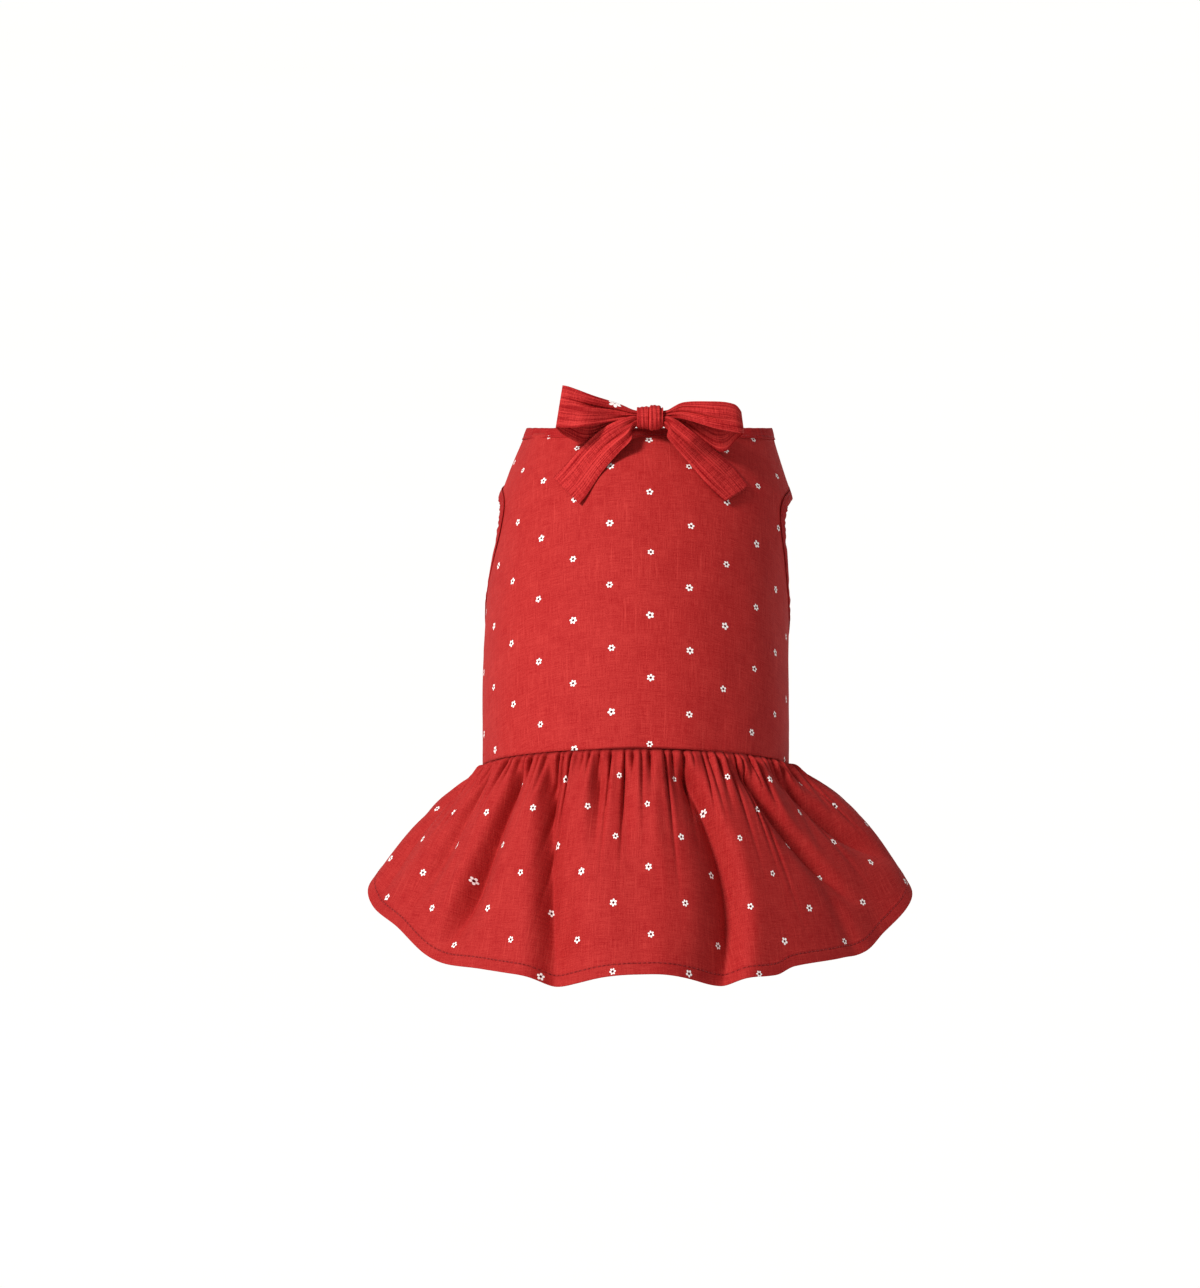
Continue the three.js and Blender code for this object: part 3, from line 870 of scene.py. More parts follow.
@dataclass
class Skirt:
    """The gathered skirt, with its folds, its small gathers and its stitched hem."""

    wall: float = 0.0009
    length: float = 0.179
    faces: tuple[int, int] = (600, 76)
    row_places: tuple[float, ...] = (0.0, 0.19, 0.76, 1.0)
    row_shares: tuple[float, ...] = (0.0, 0.085, 0.945, 1.0)
    bulge: float = 0.010
    bulge_lean: float = 0.25
    fold_depth: float = 0.014
    fold_top_share: float = 0.70
    fold_start: float = 0.14
    fold_fade: float = 0.45
    crease_depth: float = 0.0042
    crease_end: float = 1.02
    crease_fade: float = 0.3
    crease_width: float = 0.3
    crease_power: float = 1.4
    gather_depth: float = 0.0024
    gather_count: int = 34
    gather_waver: float = 0.4
    gather_start: float = 0.035
    gather_reach: float = 0.13
    widest: float = 112.0
    fullness: float = 1.5
    end_run: float = 1.25
    tuck: float = 0.0012
    tuck_rise: float = 0.0016
    tuck_reach: float = 0.010
    tuck_share: float = 0.02
    seam_drop: float = 0.0008
    hem_width: float = 0.0095
    hem_rise: float = 0.00028
    hem_edge: float = 0.0010
    stitch_inset: float = 0.0080
    stitch_off: float = 0.00012
    stitch_steps: tuple[int, int] = (900, 90)
    stitch_start: float = 0.03
    stitch_turn: float = 0.01
    end_reach: float = 0.075
    groove_half: float = 0.0007
    groove_share: float = 0.8
    seed: int = 31
    slits: Slits = Slits()
    soft_folds: SoftFolds = SoftFolds()
    sections: Table = Table(
        ("angle", "heading", "drop", "length", "bulge"),
        (
            (-112, -104, 40, 0.45, 0.75),
            (-101, -86, 43, 0.60, 0.8),
            (-90, -70, 44, 0.72, 0.8),
            (-75, -56, 55, 0.775, 0.75),
            (-60, -40, 60, 0.88, 0.8),
            (-45, -25, 60, 0.92, 0.9),
            (-22, -12, 58, 0.975, 1),
            (0, 0, 58, 0.965, 1.0),
            (24, 13, 58, 0.97, 1.0),
            (38, 21, 60, 0.95, 1),
            (45, 25, 60, 0.91, 1.0),
            (60, 40, 59, 0.88, 1.0),
            (68, 48, 57, 0.865, 1),
            (75, 57, 54, 0.81, 1.1),
            (90, 69, 43, 0.735, 1.2),
            (101, 80, 40, 0.62, 1.2),
            (112, 95, 36, 0.50, 1.1),
        ),
    )
    folds: Table = Table(
        ("top", "hem", "depth", "wide", "end", "skew", "sway"),
        (
            (-92, -88, 0.60, 7, 1.30, -0.2, 0),
            (-66, -74, 0.60, 4.5, 0.95, -0.3, 0),
            (-46, -58, 1.15, 5, 1.05, -0.3, 0),
            (-32, -22, 1.35, 7.5, 1.60, -0.3, 0),
            (-13, -12, 0.75, 3.5, 0.55, 0, 0),
            (-4, -3, 0.60, 3.5, 0.60, 0.2, 0),
            (13, 23, 1.40, 7, 1.60, 0.35, 8),
            (37, 79, 0.95, 4.5, 0.85, 0.3, 0),
            (58, 100, 0.75, 5, 0.85, 0.3, 0),
        ),
    )

    def _relief(self, angle: Array, along: Array) -> Array:
        """Returns how far the cloth stands off its plain surface in folds, gathers and slits."""
        relief = np.zeros(np.broadcast(angle, along).shape)
        for top, hem, depth, wide, end, skew, sway in self.folds.rows:
            aside = angle - top - (hem - top) * along - 4 * sway * along * (1 - along)
            spread = self.fold_top_share + (1 - self.fold_top_share) * along
            gentle = 1 - np.sign(aside) * skew
            strength = smooth_step(along / self.fold_start) * smooth_step((end - along) / self.fold_fade)
            strength = strength * spread
            relief = relief - depth * self.fold_depth * strength * bell(aside / (wide * spread * gentle))
            crease = strength * smooth_step((self.crease_end - along) / self.crease_fade)
            sharp = bell(aside / (self.crease_width * wide), self.crease_power)
            relief = relief - depth * self.crease_depth * crease * sharp
        wave = np.sin(math.pi * self.gather_count * angle / self.widest + np.sin(self.gather_waver * angle))
        fade = smooth_step(along / self.gather_start) * np.exp(-along / self.gather_reach)
        relief = relief + self.gather_depth * wave * fade
        rng = np.random.default_rng(self.seed)
        relief = relief + self.slits.at(rng, self.widest, angle, along)
        return relief + self.soft_folds.at(rng, self.widest, angle, along)

    def _grid(self, u: Array, v: Array) -> tuple[Array, Array]:
        """Returns angles and shares down, with rows closer together at the seam and the hem."""
        return self.widest * (1 - 2 * u), np.interp(v, self.row_places, self.row_shares)

    def _edge(self, angle: Array, along: Array) -> Array:
        """Returns the distance from the nearest free edge."""
        sized = self.length * self.sections.read("length", angle)
        spread = BODY.half_width + sized * along * np.cos(np.radians(self.sections.read("drop", angle)))
        aside = np.radians(self.widest - np.abs(angle)) * self.end_run * spread
        return np.minimum(sized * (1 - along), aside)

    def place(self, angle: Array, along: Array, off: float = 0.0) -> Array:
        """Returns points of the skirt.

        Args:
            angle: Degrees around the seam, 0 at the centre back.
            along: Share of the way down.
            off: Extra distance outward.

        Returns:
            Points with X, Y and Z in the last axis.
        """
        heading = np.radians(self.sections.read("heading", angle))
        drop = np.radians(self.sections.read("drop", angle))
        level = np.stack([np.sin(heading), -np.cos(heading), np.zeros(np.shape(heading))], axis=-1)
        up = np.array([0.0, 0.0, 1.0])
        down = level * np.cos(drop)[..., None] - up * np.sin(drop)[..., None]
        out = level * np.sin(drop)[..., None] + up * np.cos(drop)[..., None]
        rounded = 4 * along * (1 - along) * (1 + self.bulge_lean * (1 - 2 * along))
        bulge = self.bulge * self.sections.read("bulge", angle) * rounded
        edge = self._edge(angle, along)
        hem = smooth_step((self.hem_width - edge) / self.hem_edge)
        hem = hem - self.groove_share * bell((edge - self.stitch_inset) / self.groove_half)
        run = self.length * self.sections.read("length", angle) * along
        lift = bulge + self._relief(angle, along) + self.hem_rise * hem + off
        start = BODY.point(0.0, angle) - up * self.seam_drop
        inward = BODY.normal(self.tuck_share, angle) * -self.tuck + up * self.tuck_rise
        tucked = start + inward * bell(along / self.tuck_reach)[..., None]
        return tucked + down * run[..., None] + out * lift[..., None]

    def _hem_line(self) -> tuple[Array, Array]:
        """Returns the stitch line's angles and shares: up one side, along the hem and up the other."""
        hem_steps, side_steps = self.stitch_steps
        aside = math.degrees(self.stitch_inset / self.end_run / (BODY.half_width + self.end_reach))
        across = np.linspace(-self.widest + aside, self.widest - aside, hem_steps)
        low = 1 - self.stitch_inset / (self.length * self.sections.read("length", across))
        side = np.linspace(self.stitch_start, low[0] - self.stitch_turn, side_steps)
        angle = np.concatenate([np.full(side_steps, across[0]), across, np.full(side_steps, across[-1])])
        return angle, np.concatenate([side, low, side[::-1]])

    def build(self, cloth: Cloth, thread: bpy.types.Material) -> list[bpy.types.Object]:
        """Builds and dresses the skirt.

        Args:
            cloth: The printed cloth.
            thread: The hem stitches' thread.

        Returns:
            The skirt and its row of stitches.
        """

        def surface(u: Array, v: Array) -> Array:
            """Places the gathered cloth."""
            return self.place(*self._grid(u, v))

        def unrolled(u: Array, v: Array, points: Array) -> Array:
            """Returns cloth coordinates, as if the gathers were pulled flat."""
            angle, along = self._grid(u, v)
            down = self.length * self.sections.read("length", angle) * along
            return np.stack([self.fullness * BODY.half_width * np.radians(angle), -down], axis=-1)

        def edges(u: Array, v: Array) -> Array:
            """Returns how far along the hem a point lies and how far in from the free edge."""
            angle, along = self._grid(u, v)
            run = self.fullness * BODY.half_width * np.radians(angle)
            return np.stack([run, self._edge(angle, along)], axis=-1)

        made = ClothPatch("skirt_cloth", surface, unrolled, *self.faces, self.wall, edge_uv=edges).build()
        dress_piece(made, cloth, "skirt")
        angle, along = self._hem_line()
        line = self.place(angle, along, self.wall / 2 + self.stitch_off)
        sewn = StitchRow("hem_stitches").build(line, line - self.place(angle, along), thread)
        return [made, sewn]


def spline(points: Array, share: Array) -> Array:
    """Runs a smooth curve through points.

    Args:
        points: The points in order.
        share: How far along, counted evenly by point.

    Returns:
        The places on the curve.
    """
    ends = np.vstack([2 * points[0] - points[1], points, 2 * points[-1] - points[-2]])
    at = np.clip(share, 0, 1) * (len(points) - 1)
    left = np.minimum(at.astype(int), len(points) - 2)
    t = (at - left)[..., None]
    p0, p1, p2, p3 = (ends[left + step] for step in range(4))
    steps = ((p0, p1), (p1, p2), (p2, p3))
    g0, g1, g2 = (np.sqrt(np.linalg.norm(b - a, axis=-1, keepdims=True)) for a, b in steps)
    leaving = ((p1 - p0) / g0 - (p2 - p0) / (g0 + g1) + (p2 - p1) / g1) * g1
    arriving = ((p2 - p1) / g1 - (p3 - p1) / (g1 + g2) + (p3 - p2) / g2) * g1
    a = 2 * p1 - 2 * p2 + leaving + arriving
    b = -3 * p1 + 3 * p2 - 2 * leaving - arriving
    return ((a * t + b) * t + leaving) * t + p1


LOOP_COLUMNS = ("share", "out_upper", "out_lower", "upper", "lower", "swell")
TAIL_COLUMNS = ("out_upper", "drop_upper", "lift_upper", "out_lower", "drop_lower", "lift_lower")


@dataclass(frozen=True)
class Pleats:
    """Even pleats across a band, which may slant as they run along it."""

    depth: float
    count: float
    start: float
    slant: float = 0.0

    def at(self, share: Array, across: Array) -> Array:
        """Returns how far the pleats stand off the band."""
        return self.depth * np.sin(math.tau * (self.count * across + self.start + self.slant * share))


@dataclass(frozen=True)
class Dent:
    """A straight dent along a band, which may slant as it runs."""

    depth: float
    place: float
    slant: float
    half: float
    middle: float

    def at(self, share: Array, across: Array) -> Array:
        """Returns how deep the band is pressed in."""
        return self.depth * bell((across - self.place - self.slant * (share - self.middle)) / self.half)


@dataclass
class Bow:
    """The bow of plain streaked cloth, with painted highlight and shade on its ribs: a knot, two loops and
    two tails.
    """

    wall: float = 0.0009
    reach: Span = (0.063, 0.0685)
    rise: float = 0.012
    swell: float = 0.011
    loop_faces: tuple[int, int] = (110, 40)
    loop_flat: Span = (0.026, 0.13)
    swell_low: float = 1.15
    swell_loss: float = 0.5
    near_knot: Span = (0.10, 0.10)
    loop_pleats: Pleats = Pleats(0.0009, 2.6, 0.15, 0.9)
    loop_fan: Pleats = Pleats(0.0007, 1.6, 0.3)
    fan_start: Span = (0.3, 0.4)
    fan_loss: float = 0.5
    loop_soft: tuple[Ripples, Ripples] = (Ripples(41, 0.022, stretch=2.0), Ripples(42, 0.022, stretch=2.0))
    soft_depth: float = 0.0006
    soft_width: float = 0.03
    soft_rise: float = 0.4
    left_dents: tuple[Dent, ...] = (Dent(0.0045, 0.66, 0.25, 0.060, 0.28),)
    right_dents: tuple[Dent, ...] = (Dent(0.0026, 0.40, -0.4, 0.09, 0.2), Dent(0.0018, 0.72, -0.3, 0.08, 0.2))
    knot_width: float = 0.019
    knot_height: float = 0.018
    knot_depth: float = 0.017
    knot_wall: float = 0.002
    knot_pinch: float = 0.1
    knot_power: float = 0.8
    knot_faces: tuple[int, int] = (120, 44)
    knot_girth: float = 0.055
    knot_sink: float = 0.0007
    band_middle: float = 0.0036
    band_half: float = 0.0040
    band_edge: float = 0.0009
    band_rise: float = 0.00095
    band_sway: float = 0.0004
    groove_place: float = 0.0043
    groove_half: float = 0.0006
    groove_depth: float = 0.00055
    crease_height: float = 0.00022
    crease_pitch: float = 0.0031
    edge_wall: float = 0.002
    gap: float = 0.00035
    tail_reach: float = 0.062
    tail_lift: float = 0.0045
    tail_top: float = 0.0036
    tail_crown: float = 0.0016
    tail_crown_start: float = 0.3
    tail_faces: tuple[int, int] = (40, 90)
    tail_flat: Span = (0.028, 0.09)
    tail_pleats: Pleats = Pleats(0.0013, 2.2, 0.2, 0.5)
    tail_dent: Dent = Dent(0.0018, 0.45, 0.3, 0.07, 0.5)
    tail_soft: float = 0.0004
    view_tip: float = 9.0
    left_loop: Table = Table(
        LOOP_COLUMNS,
        (
            (0.00, 0.05, 0.05, 0.40, 0.05, 0.17),
            (0.07, 0.18, 0.18, 0.42, 0.05, 0.18),
            (0.16, 0.38, 0.40, 0.90, -0.15, 0.26),
            (0.30, 0.68, 0.78, 1.48, -0.40, 1.00),
            (0.42, 0.93, 1.00, 1.95, -0.50, 0.72),
            (0.50, 1.01, 1.09, 2.00, -0.62, 0.10),
            (0.58, 0.95, 0.97, 1.85, -1.25, -0.50),
            (0.72, 0.68, 0.72, 1.35, -1.65, -0.62),
            (0.86, 0.36, 0.36, 0.80, -0.50, -0.40),
            (0.93, 0.18, 0.18, 0.42, 0.05, -0.18),
            (1.00, 0.05, 0.05, 0.40, 0.05, -0.17),
        ),
    )
    right_loop: Table = Table(
        LOOP_COLUMNS,
        (
            (0.00, 0.05, 0.05, 0.40, 0.05, 0.17),
            (0.07, 0.17, 0.17, 0.42, 0.05, 0.18),
            (0.16, 0.35, 0.36, 0.95, -0.05, 0.28),
            (0.30, 0.64, 0.68, 1.08, -0.50, 1.00),
            (0.42, 0.88, 0.93, 0.92, -0.82, 0.75),
            (0.50, 0.97, 1.00, 0.35, -0.95, 0.10),
            (0.58, 0.90, 0.93, 0.80, -1.42, -0.50),
            (0.72, 0.66, 0.74, 0.95, -2.15, -0.45),
            (0.86, 0.36, 0.36, 0.80, -0.50, -0.40),
            (0.93, 0.18, 0.18, 0.42, 0.05, -0.18),
            (1.00, 0.05, 0.05, 0.40, 0.05, -0.17),
        ),
    )
    tail_root: Table = Table(
        ("out", "upper", "lower", "near"),
        ((0.40, 0.24, -0.78, 0.66), (1.05, 0.25, -1.00, 0.76), (1.40, 0.28, -1.50, 0.88)),
    )
    left_tail: Table = Table(
        TAIL_COLUMNS,
        (
            (0.36, -0.03, 5.20, 0.22, 0.20, 3.20),
            (0.56, 0.07, 4.60, 0.37, 0.36, 1.80),
            (0.80, 0.28, 1.10, 0.57, 0.59, 0.60),
            (0.98, 0.48, 0.75, 0.75, 0.86, 0.75),
            (1.14, 0.65, 1.10, 0.83, 0.96, 1.10),
        ),
    )
    right_tail: Table = Table(
        TAIL_COLUMNS,
        (
            (0.32, -0.02, 5.40, 0.20, 0.17, 3.20),
            (0.52, 0.13, 5.20, 0.32, 0.32, 1.90),
            (0.74, 0.31, 1.80, 0.48, 0.51, 0.60),
            (0.95, 0.48, 0.70, 0.67, 0.73, 0.70),
            (1.17, 0.75, 1.00, 0.89, 0.93, 1.00),
        ),
    )

    @property
    def centre(self) -> Array:
        """Returns the middle of the knot."""
        behind = self.knot_depth / 2 + self.edge_wall / 2 + self.gap
        return BODY.point(1.0, 0.0) + np.array([0.0, -behind, self.knot_height / 2 + self.gap])

    @property
    def to_viewer(self) -> Array:
        """Returns the way towards the viewer behind."""
        tip = math.radians(self.view_tip)
        return np.array([0.0, -math.cos(tip), math.sin(tip)])

    def _view_height(self, points: Array) -> Array:
        """Returns how high points stand in the view from behind."""
        tip = math.radians(self.view_tip)
        return points[..., 2] * math.cos(tip) + points[..., 1] * math.sin(tip)

    def _loop(self, side: Side) -> bpy.types.Object:
        """Builds one loop, a band that runs out, turns over and comes back behind."""
        left = side is Side.LEFT
        rows = self.left_loop if left else self.right_loop
        reach = self.reach[0 if left else 1]
        ripples = self.loop_soft[0 if left else 1]
        centre = self.centre
        knot_place, knot_half = self.near_knot
        fan_from, fan_over = self.fan_start

        def surface(u: Array, v: Array) -> Array:
            """Places the pleated and dented band."""
            share = 1 - u if left else u
            out = rows.read("out_lower", share) * (1 - v) + rows.read("out_upper", share) * v
            rise = rows.read("lower", share) * (1 - v) + rows.read("upper", share) * v
            swell = self.swell * rows.read("swell", share) * (self.swell_low - self.swell_loss * v)
            near = bell((np.minimum(share, 1 - share) - knot_place) / knot_half)
            fan = smooth_step((out - fan_from) / fan_over) * (1 - self.fan_loss * out)
            relief = near * self.loop_pleats.at(share, v) + fan * self.loop_fan.at(share, v)
            relief = relief - self._dents(side, share, v)
            soft = self.soft_depth * ripples.at(reach * 2 * share, self.soft_width * v)
            lifted = self.soft_rise * soft * smooth_step(out / 0.5)
            return np.stack(
                [
                    centre[0] + side.value * reach * out,
                    centre[1] - swell - np.sign(0.5 - share) * relief - soft,
                    centre[2] + self.rise * rise + lifted,
                ],
                axis=-1,
            )

        def unrolled(u: Array, v: Array, points: Array) -> Array:
            """Returns cloth coordinates: across the band and along it."""
            return np.stack([self.loop_flat[0] * v, self.loop_flat[1] * u], axis=-1)

        name = f"bow_loop_{side.word}_cloth"
        return ClothPatch(name, surface, unrolled, *self.loop_faces, self.wall).build()

    def _dents(self, side: Side, share: Array, v: Array) -> Array:
        """Returns how deep a loop's front layer is pressed in along its dent folds."""
        if side is Side.LEFT:
            dents = self.left_dents
            fade = bell((share - 0.28) / 0.10)
        else:
            dents = self.right_dents
            fade = smooth_step((share - 0.06) / 0.08) * smooth_step((0.42 - share) / 0.15)
        return sum(dent.at(share, v) for dent in dents) * fade

    def _tail_edge(self, rows: Table, side: Side, edge: str) -> Array:
        """Returns the points of one edge of a tail, from inside the knot and down over the back."""
        centre = self.centre
        half = np.array([self.knot_width / 2, self.knot_depth / 2, self.knot_height / 2])
        half[1:] = half[1:] * (1 - self.knot_pinch) - self.knot_wall
        root = self.tail_root
        inside = np.stack(
            [
                centre[0] + side.value * root.column("out") * half[0],
                centre[1] - root.column("near") * half[1],
                centre[2] + root.column(edge) * half[2],
            ],
            axis=-1,
        )
        x = centre[0] + side.value * self.tail_reach * rows.column(f"out_{edge}")
        drop = self.tail_top + self.tail_reach * rows.column(f"drop_{edge}")
        height = self._view_height(centre) - drop

        def measure(points: Array) -> Array:
            """Returns how far points lie from the wanted place in the view from behind."""
            return np.stack([points[..., 0] - x, self._view_height(points) - height], axis=-1)

        share, angle = BODY.find(np.full(x.shape, 0.9), np.full(x.shape, 15.0 * side.value), measure)
        lift = self.tail_lift * rows.column(f"lift_{edge}")
        return np.vstack([inside, BODY.point(share, angle) + lift[:, None] * self.to_viewer])

    def _tail(self, side: Side) -> bpy.types.Object:
        """Builds one tail, a flat band that runs down over the back."""
        rows = self.left_tail if side is Side.LEFT else self.right_tail
        upper = self._tail_edge(rows, side, "upper")
        lower = self._tail_edge(rows, side, "lower")
        width, length = self.tail_flat
        ripples = Ripples(51 + side.value, 0.020, stretch=2.2)

        def surface(u: Array, v: Array) -> Array:
            """Places the band between its two edges, with its crown, pleats and crease."""
            share, across = 1 - v, u if side is Side.LEFT else 1 - u
            flat = spline(lower, share) * (1 - across[..., None]) + spline(upper, share) * across[..., None]
            crown = self.tail_crown * np.sin(math.pi * across) * smooth_step(share / self.tail_crown_start)
            pleats = self.tail_pleats.at(share, across) * bell((share - 0.34) / 0.18)
            crease = self.tail_dent.at(share, across)
            crease = crease * smooth_step((share - 0.3) / 0.1) * smooth_step((0.9 - share) / 0.3)
            soft = self.tail_soft * ripples.at(length * share, width * across)
            return flat + (crown + pleats - crease + soft)[..., None] * self.to_viewer

        def unrolled(u: Array, v: Array, points: Array) -> Array:
            """Returns cloth coordinates: across the band and along it."""
            return np.stack([width * u, length * v], axis=-1)

        name = f"bow_tail_{side.word}_cloth"
        return ClothPatch(name, surface, unrolled, *self.tail_faces, self.wall).build()

    def _knot(self) -> bpy.types.Object:
        """Builds the knot, a band wrapped around the middle, with a narrower fold standing out on it."""
        centre = self.centre
        deep = self.knot_depth / 2 * (1 - self.knot_pinch) - self.wall / 2
        high = self.knot_height / 2 * (1 - self.knot_pinch) - self.wall / 2

        def surface(u: Array, v: Array) -> Array:
            """Places the band around the knot, with its fold, grooves and fine creases."""
            turn = math.tau * u
            belly = self.knot_pinch * np.sin(math.pi * v)
            x = self.knot_width * (v - 0.5)
            lean = self.band_sway * np.sin(turn + 0.6)
            aside = np.abs(x - self.band_middle - lean)
            band = smooth_step((self.band_half - aside) / self.band_edge) * self.band_rise
            grooves = bell((aside - self.groove_place) / self.groove_half) * self.groove_depth
            phase = math.tau * (x + 0.5 * lean) / self.crease_pitch + 0.6 * np.sin(turn)
            off = band - grooves + self.crease_height * np.sin(phase) - self.knot_sink
            cosine = np.sign(np.cos(turn)) * np.abs(np.cos(turn)) ** self.knot_power
            sine = np.sign(np.sin(turn)) * np.abs(np.sin(turn)) ** self.knot_power
            y = (deep + belly * self.knot_depth / 2 + off) * cosine
            z = (high + belly * self.knot_height / 2 + off) * sine
            return np.stack([centre[0] + x, centre[1] + y, centre[2] + z], axis=-1)

        def unrolled(u: Array, v: Array, points: Array) -> Array:
            """Returns cloth coordinates: around the knot and across its band."""
            return np.stack([self.knot_girth * u, self.knot_width * v], axis=-1)

        return ClothPatch("bow_knot_cloth", surface, unrolled, *self.knot_faces, self.wall, loop=True).build()

    def build(self, cloth: Cloth, flowered: Cloth, knot_cloth: Cloth) -> list[bpy.types.Object]:
        """Builds the five pieces and dresses them.

        Args:
            cloth: The streaked cloth of loops and tails.
            flowered: The same with one flower, for the left loop.
            knot_cloth: The same cloth with its streaks running the knot's way.

        Returns:
            The pieces.
        """
        knot = self._knot()
        dress_piece(knot, knot_cloth, "bow_knot")
        made = [knot]
        for side in Side:
            for kind, piece, flat in (
                ("loop", self._loop(side), (0.027, 0.13)),
                ("tail", self._tail(side), (0.028, 0.09)),
            ):
                finish = flowered if kind == "loop" and side is Side.LEFT else cloth
                dress_piece(piece, finish, f"bow_{kind}_{side.word}")
                made.append(piece)
        return made


@dataclass(frozen=True)
class Grain:
    """Noise over the cloth: its scales per metre across and along, its layer and its detail."""

    across: float
    along: float
    layer: float = 0.0
    detail: float = 2.0
    roughness: float = 0.5


WARP = Grain(2400.0, 90.0)
WEFT = Grain(90.0, 2400.0, 4.0)
SLUB_ACROSS = Grain(60.0, 900.0, 8.0, 1.0)
SLUB_ALONG = Grain(800.0, 24.0, 12.0, 1.0)
MOTTLE = Grain(38.0, 38.0, 2.0, 3.0, 0.6)
STREAK_ALONG = Grain(330.0, 9.0, 16.0, 3.0)
STREAK_ACROSS = Grain(9.0, 330.0, 0.0, 3.0)
SPECKLE = Grain(1250.0, 1250.0, 20.0, 1.0)
FRAY = Grain(1900.0, 1900.0, 0.0, 1.0)
RIB_DRIFT = Grain(40.0, 40.0, 6.0)
FINE_LINES = Grain(950.0, 14.0, 6.0)
BROAD_LINES = Grain(260.0, 16.0, 26.0, 1.0)


class Graph:
    """The shader nodes of one material."""

    def __init__(self, name: str) -> None:
        """Starts an empty material."""
        self.material = bpy.data.materials.new(name)
        self.material.use_nodes = True
        self.tree = self.material.node_tree
        self.tree.nodes.clear()

    def node(
        self,
        kind: str,
        settings: Optional[dict[str, object]] = None,
        inputs: Optional[dict[Union[str, int], object]] = None,
    ) -> bpy.types.Node:
        """Makes a node.

        Args:
            kind: The node's type.
            settings: Its own settings, which are set first.
            inputs: Numbers, colours or links for its sockets.

        Returns:
            The node.
        """
        made = self.tree.nodes.new(kind)
        for key, value in (settings or {}).items():
            setattr(made, key, value)
        for key, value in (inputs or {}).items():
            if isinstance(value, Expr):
                self.tree.links.new(value.socket, made.inputs[key])
            else:
                made.inputs[key].default_value = value
        return made

    def out(self, made: bpy.types.Node, socket: Union[str, int] = 0) -> "Expr":
        """Returns a node's output for use in expressions."""
        return Expr(self, made.outputs[socket])

    def uv(self, layer: str) -> tuple["Expr", "Expr"]:
        """Returns the two coordinates of a UV layer."""
        place = self.out(self.node("ShaderNodeUVMap", {"uv_map": layer}))
        split = self.node("ShaderNodeSeparateXYZ", inputs={0: place})
        return self.out(split, 0), self.out(split, 1)

    def vector(self, x: object, y: object, z: object = 0.0) -> "Expr":
        """Joins three numbers to a vector."""
        return self.out(self.node("ShaderNodeCombineXYZ", inputs={0: x, 1: y, 2: z}))

    def noise(self, at: "Expr", detail: float = 2.0, roughness: float = 0.5) -> "Expr":
        """Returns soft noise from 0 to 1."""
        inputs = {"Vector": at, "Scale": 1.0, "Detail": detail, "Roughness": roughness}
        return self.out(self.node("ShaderNodeTexNoise", inputs=inputs), 0)

    def grain(self, u: "Expr", v: "Expr", kind: Grain) -> "Expr":
        """Returns one kind of noise over the cloth, from 0 to 1."""
        at = self.vector(u * kind.across, v * kind.along, kind.layer)
        return self.noise(at, kind.detail, kind.roughness)

    def chance(self, column: "Expr", row: "Expr", layer: float) -> "Expr":
        """Returns an even random number from 0 to 1 for each column, row and layer."""
        at = self.vector(column, row, layer)
        return self.out(self.node("ShaderNodeTexWhiteNoise", {"noise_dimensions": "3D"}, {"Vector": at}), 0)

    def mix(self, factor: object, first: object, second: object) -> "Expr":
        """Mixes two colours, each given as three numbers or as an expression."""
        whole = [(*colour, 1.0) if isinstance(colour, tuple) else colour for colour in (first, second)]
        inputs = {0: factor, 6: whole[0], 7: whole[1]}
        return self.out(self.node("ShaderNodeMix", {"data_type": "RGBA"}, inputs), 2)

    def finish(self, **sockets: object) -> bpy.types.Material:
        """Joins a surface shader with these sockets to the output.

        Args:
            sockets: Values by socket name, with underscores for spaces.

        Returns:
            The finished material.
        """
        inputs = {key.replace("_", " "): value for key, value in sockets.items()}
        shader = self.node("ShaderNodeBsdfPrincipled", inputs=inputs)
        self.node("ShaderNodeOutputMaterial", inputs={0: self.out(shader)})
        return self.material


class Expr:
    """One shader socket, with arithmetic written as expressions."""

    def __init__(self, graph: Graph, socket: bpy.types.NodeSocket) -> None:
        """Wraps a socket."""
        self.graph = graph
        self.socket = socket

    def math(self, operation: str, *values: object) -> "Expr":
        """Applies a math node to this and other values.

        Args:
            operation: The node's operation.
            values: All the inputs in order.

        Returns:
            The result.
        """
        inputs = dict(enumerate(values))
        return self.graph.out(self.graph.node("ShaderNodeMath", {"operation": operation}, inputs))

    def __add__(self, other: object) -> "Expr":
        """Adds."""
        return self.math("ADD", self, other)

    __radd__ = __add__

    def __mul__(self, other: object) -> "Expr":
        """Multiplies."""
        return self.math("MULTIPLY", self, other)

    __rmul__ = __mul__

    def __sub__(self, other: object) -> "Expr":
        """Takes the other away."""
        return self.math("SUBTRACT", self, other)

    def __rsub__(self, other: object) -> "Expr":
        """Takes this away from the other."""
        return self.math("SUBTRACT", other, self)

    def __truediv__(self, other: object) -> "Expr":
        """Divides by the other."""
        return self.math("DIVIDE", self, other)

    def __pow__(self, other: object) -> "Expr":
        """Raises to a power."""
        return self.math("POWER", self, other)

    def call(self, operation: str) -> "Expr":
        """Applies a one-number operation, such as SINE or FLOOR."""
        return self.math(operation, self)

    def above(self, edge: object) -> "Expr":
        """Returns 1 where this is above the edge, else 0."""
        return self.math("GREATER_THAN", self, edge)

    def fade(self, low: object, high: object) -> "Expr":
        """Eases from 0 at low to 1 at high, and either may be the larger."""
        inputs = {0: self, 1: low, 2: high, 3: 0.0, 4: 1.0}
        made = self.graph.node("ShaderNodeMapRange", {"interpolation_type": "SMOOTHSTEP"}, inputs)
        return self.graph.out(made)


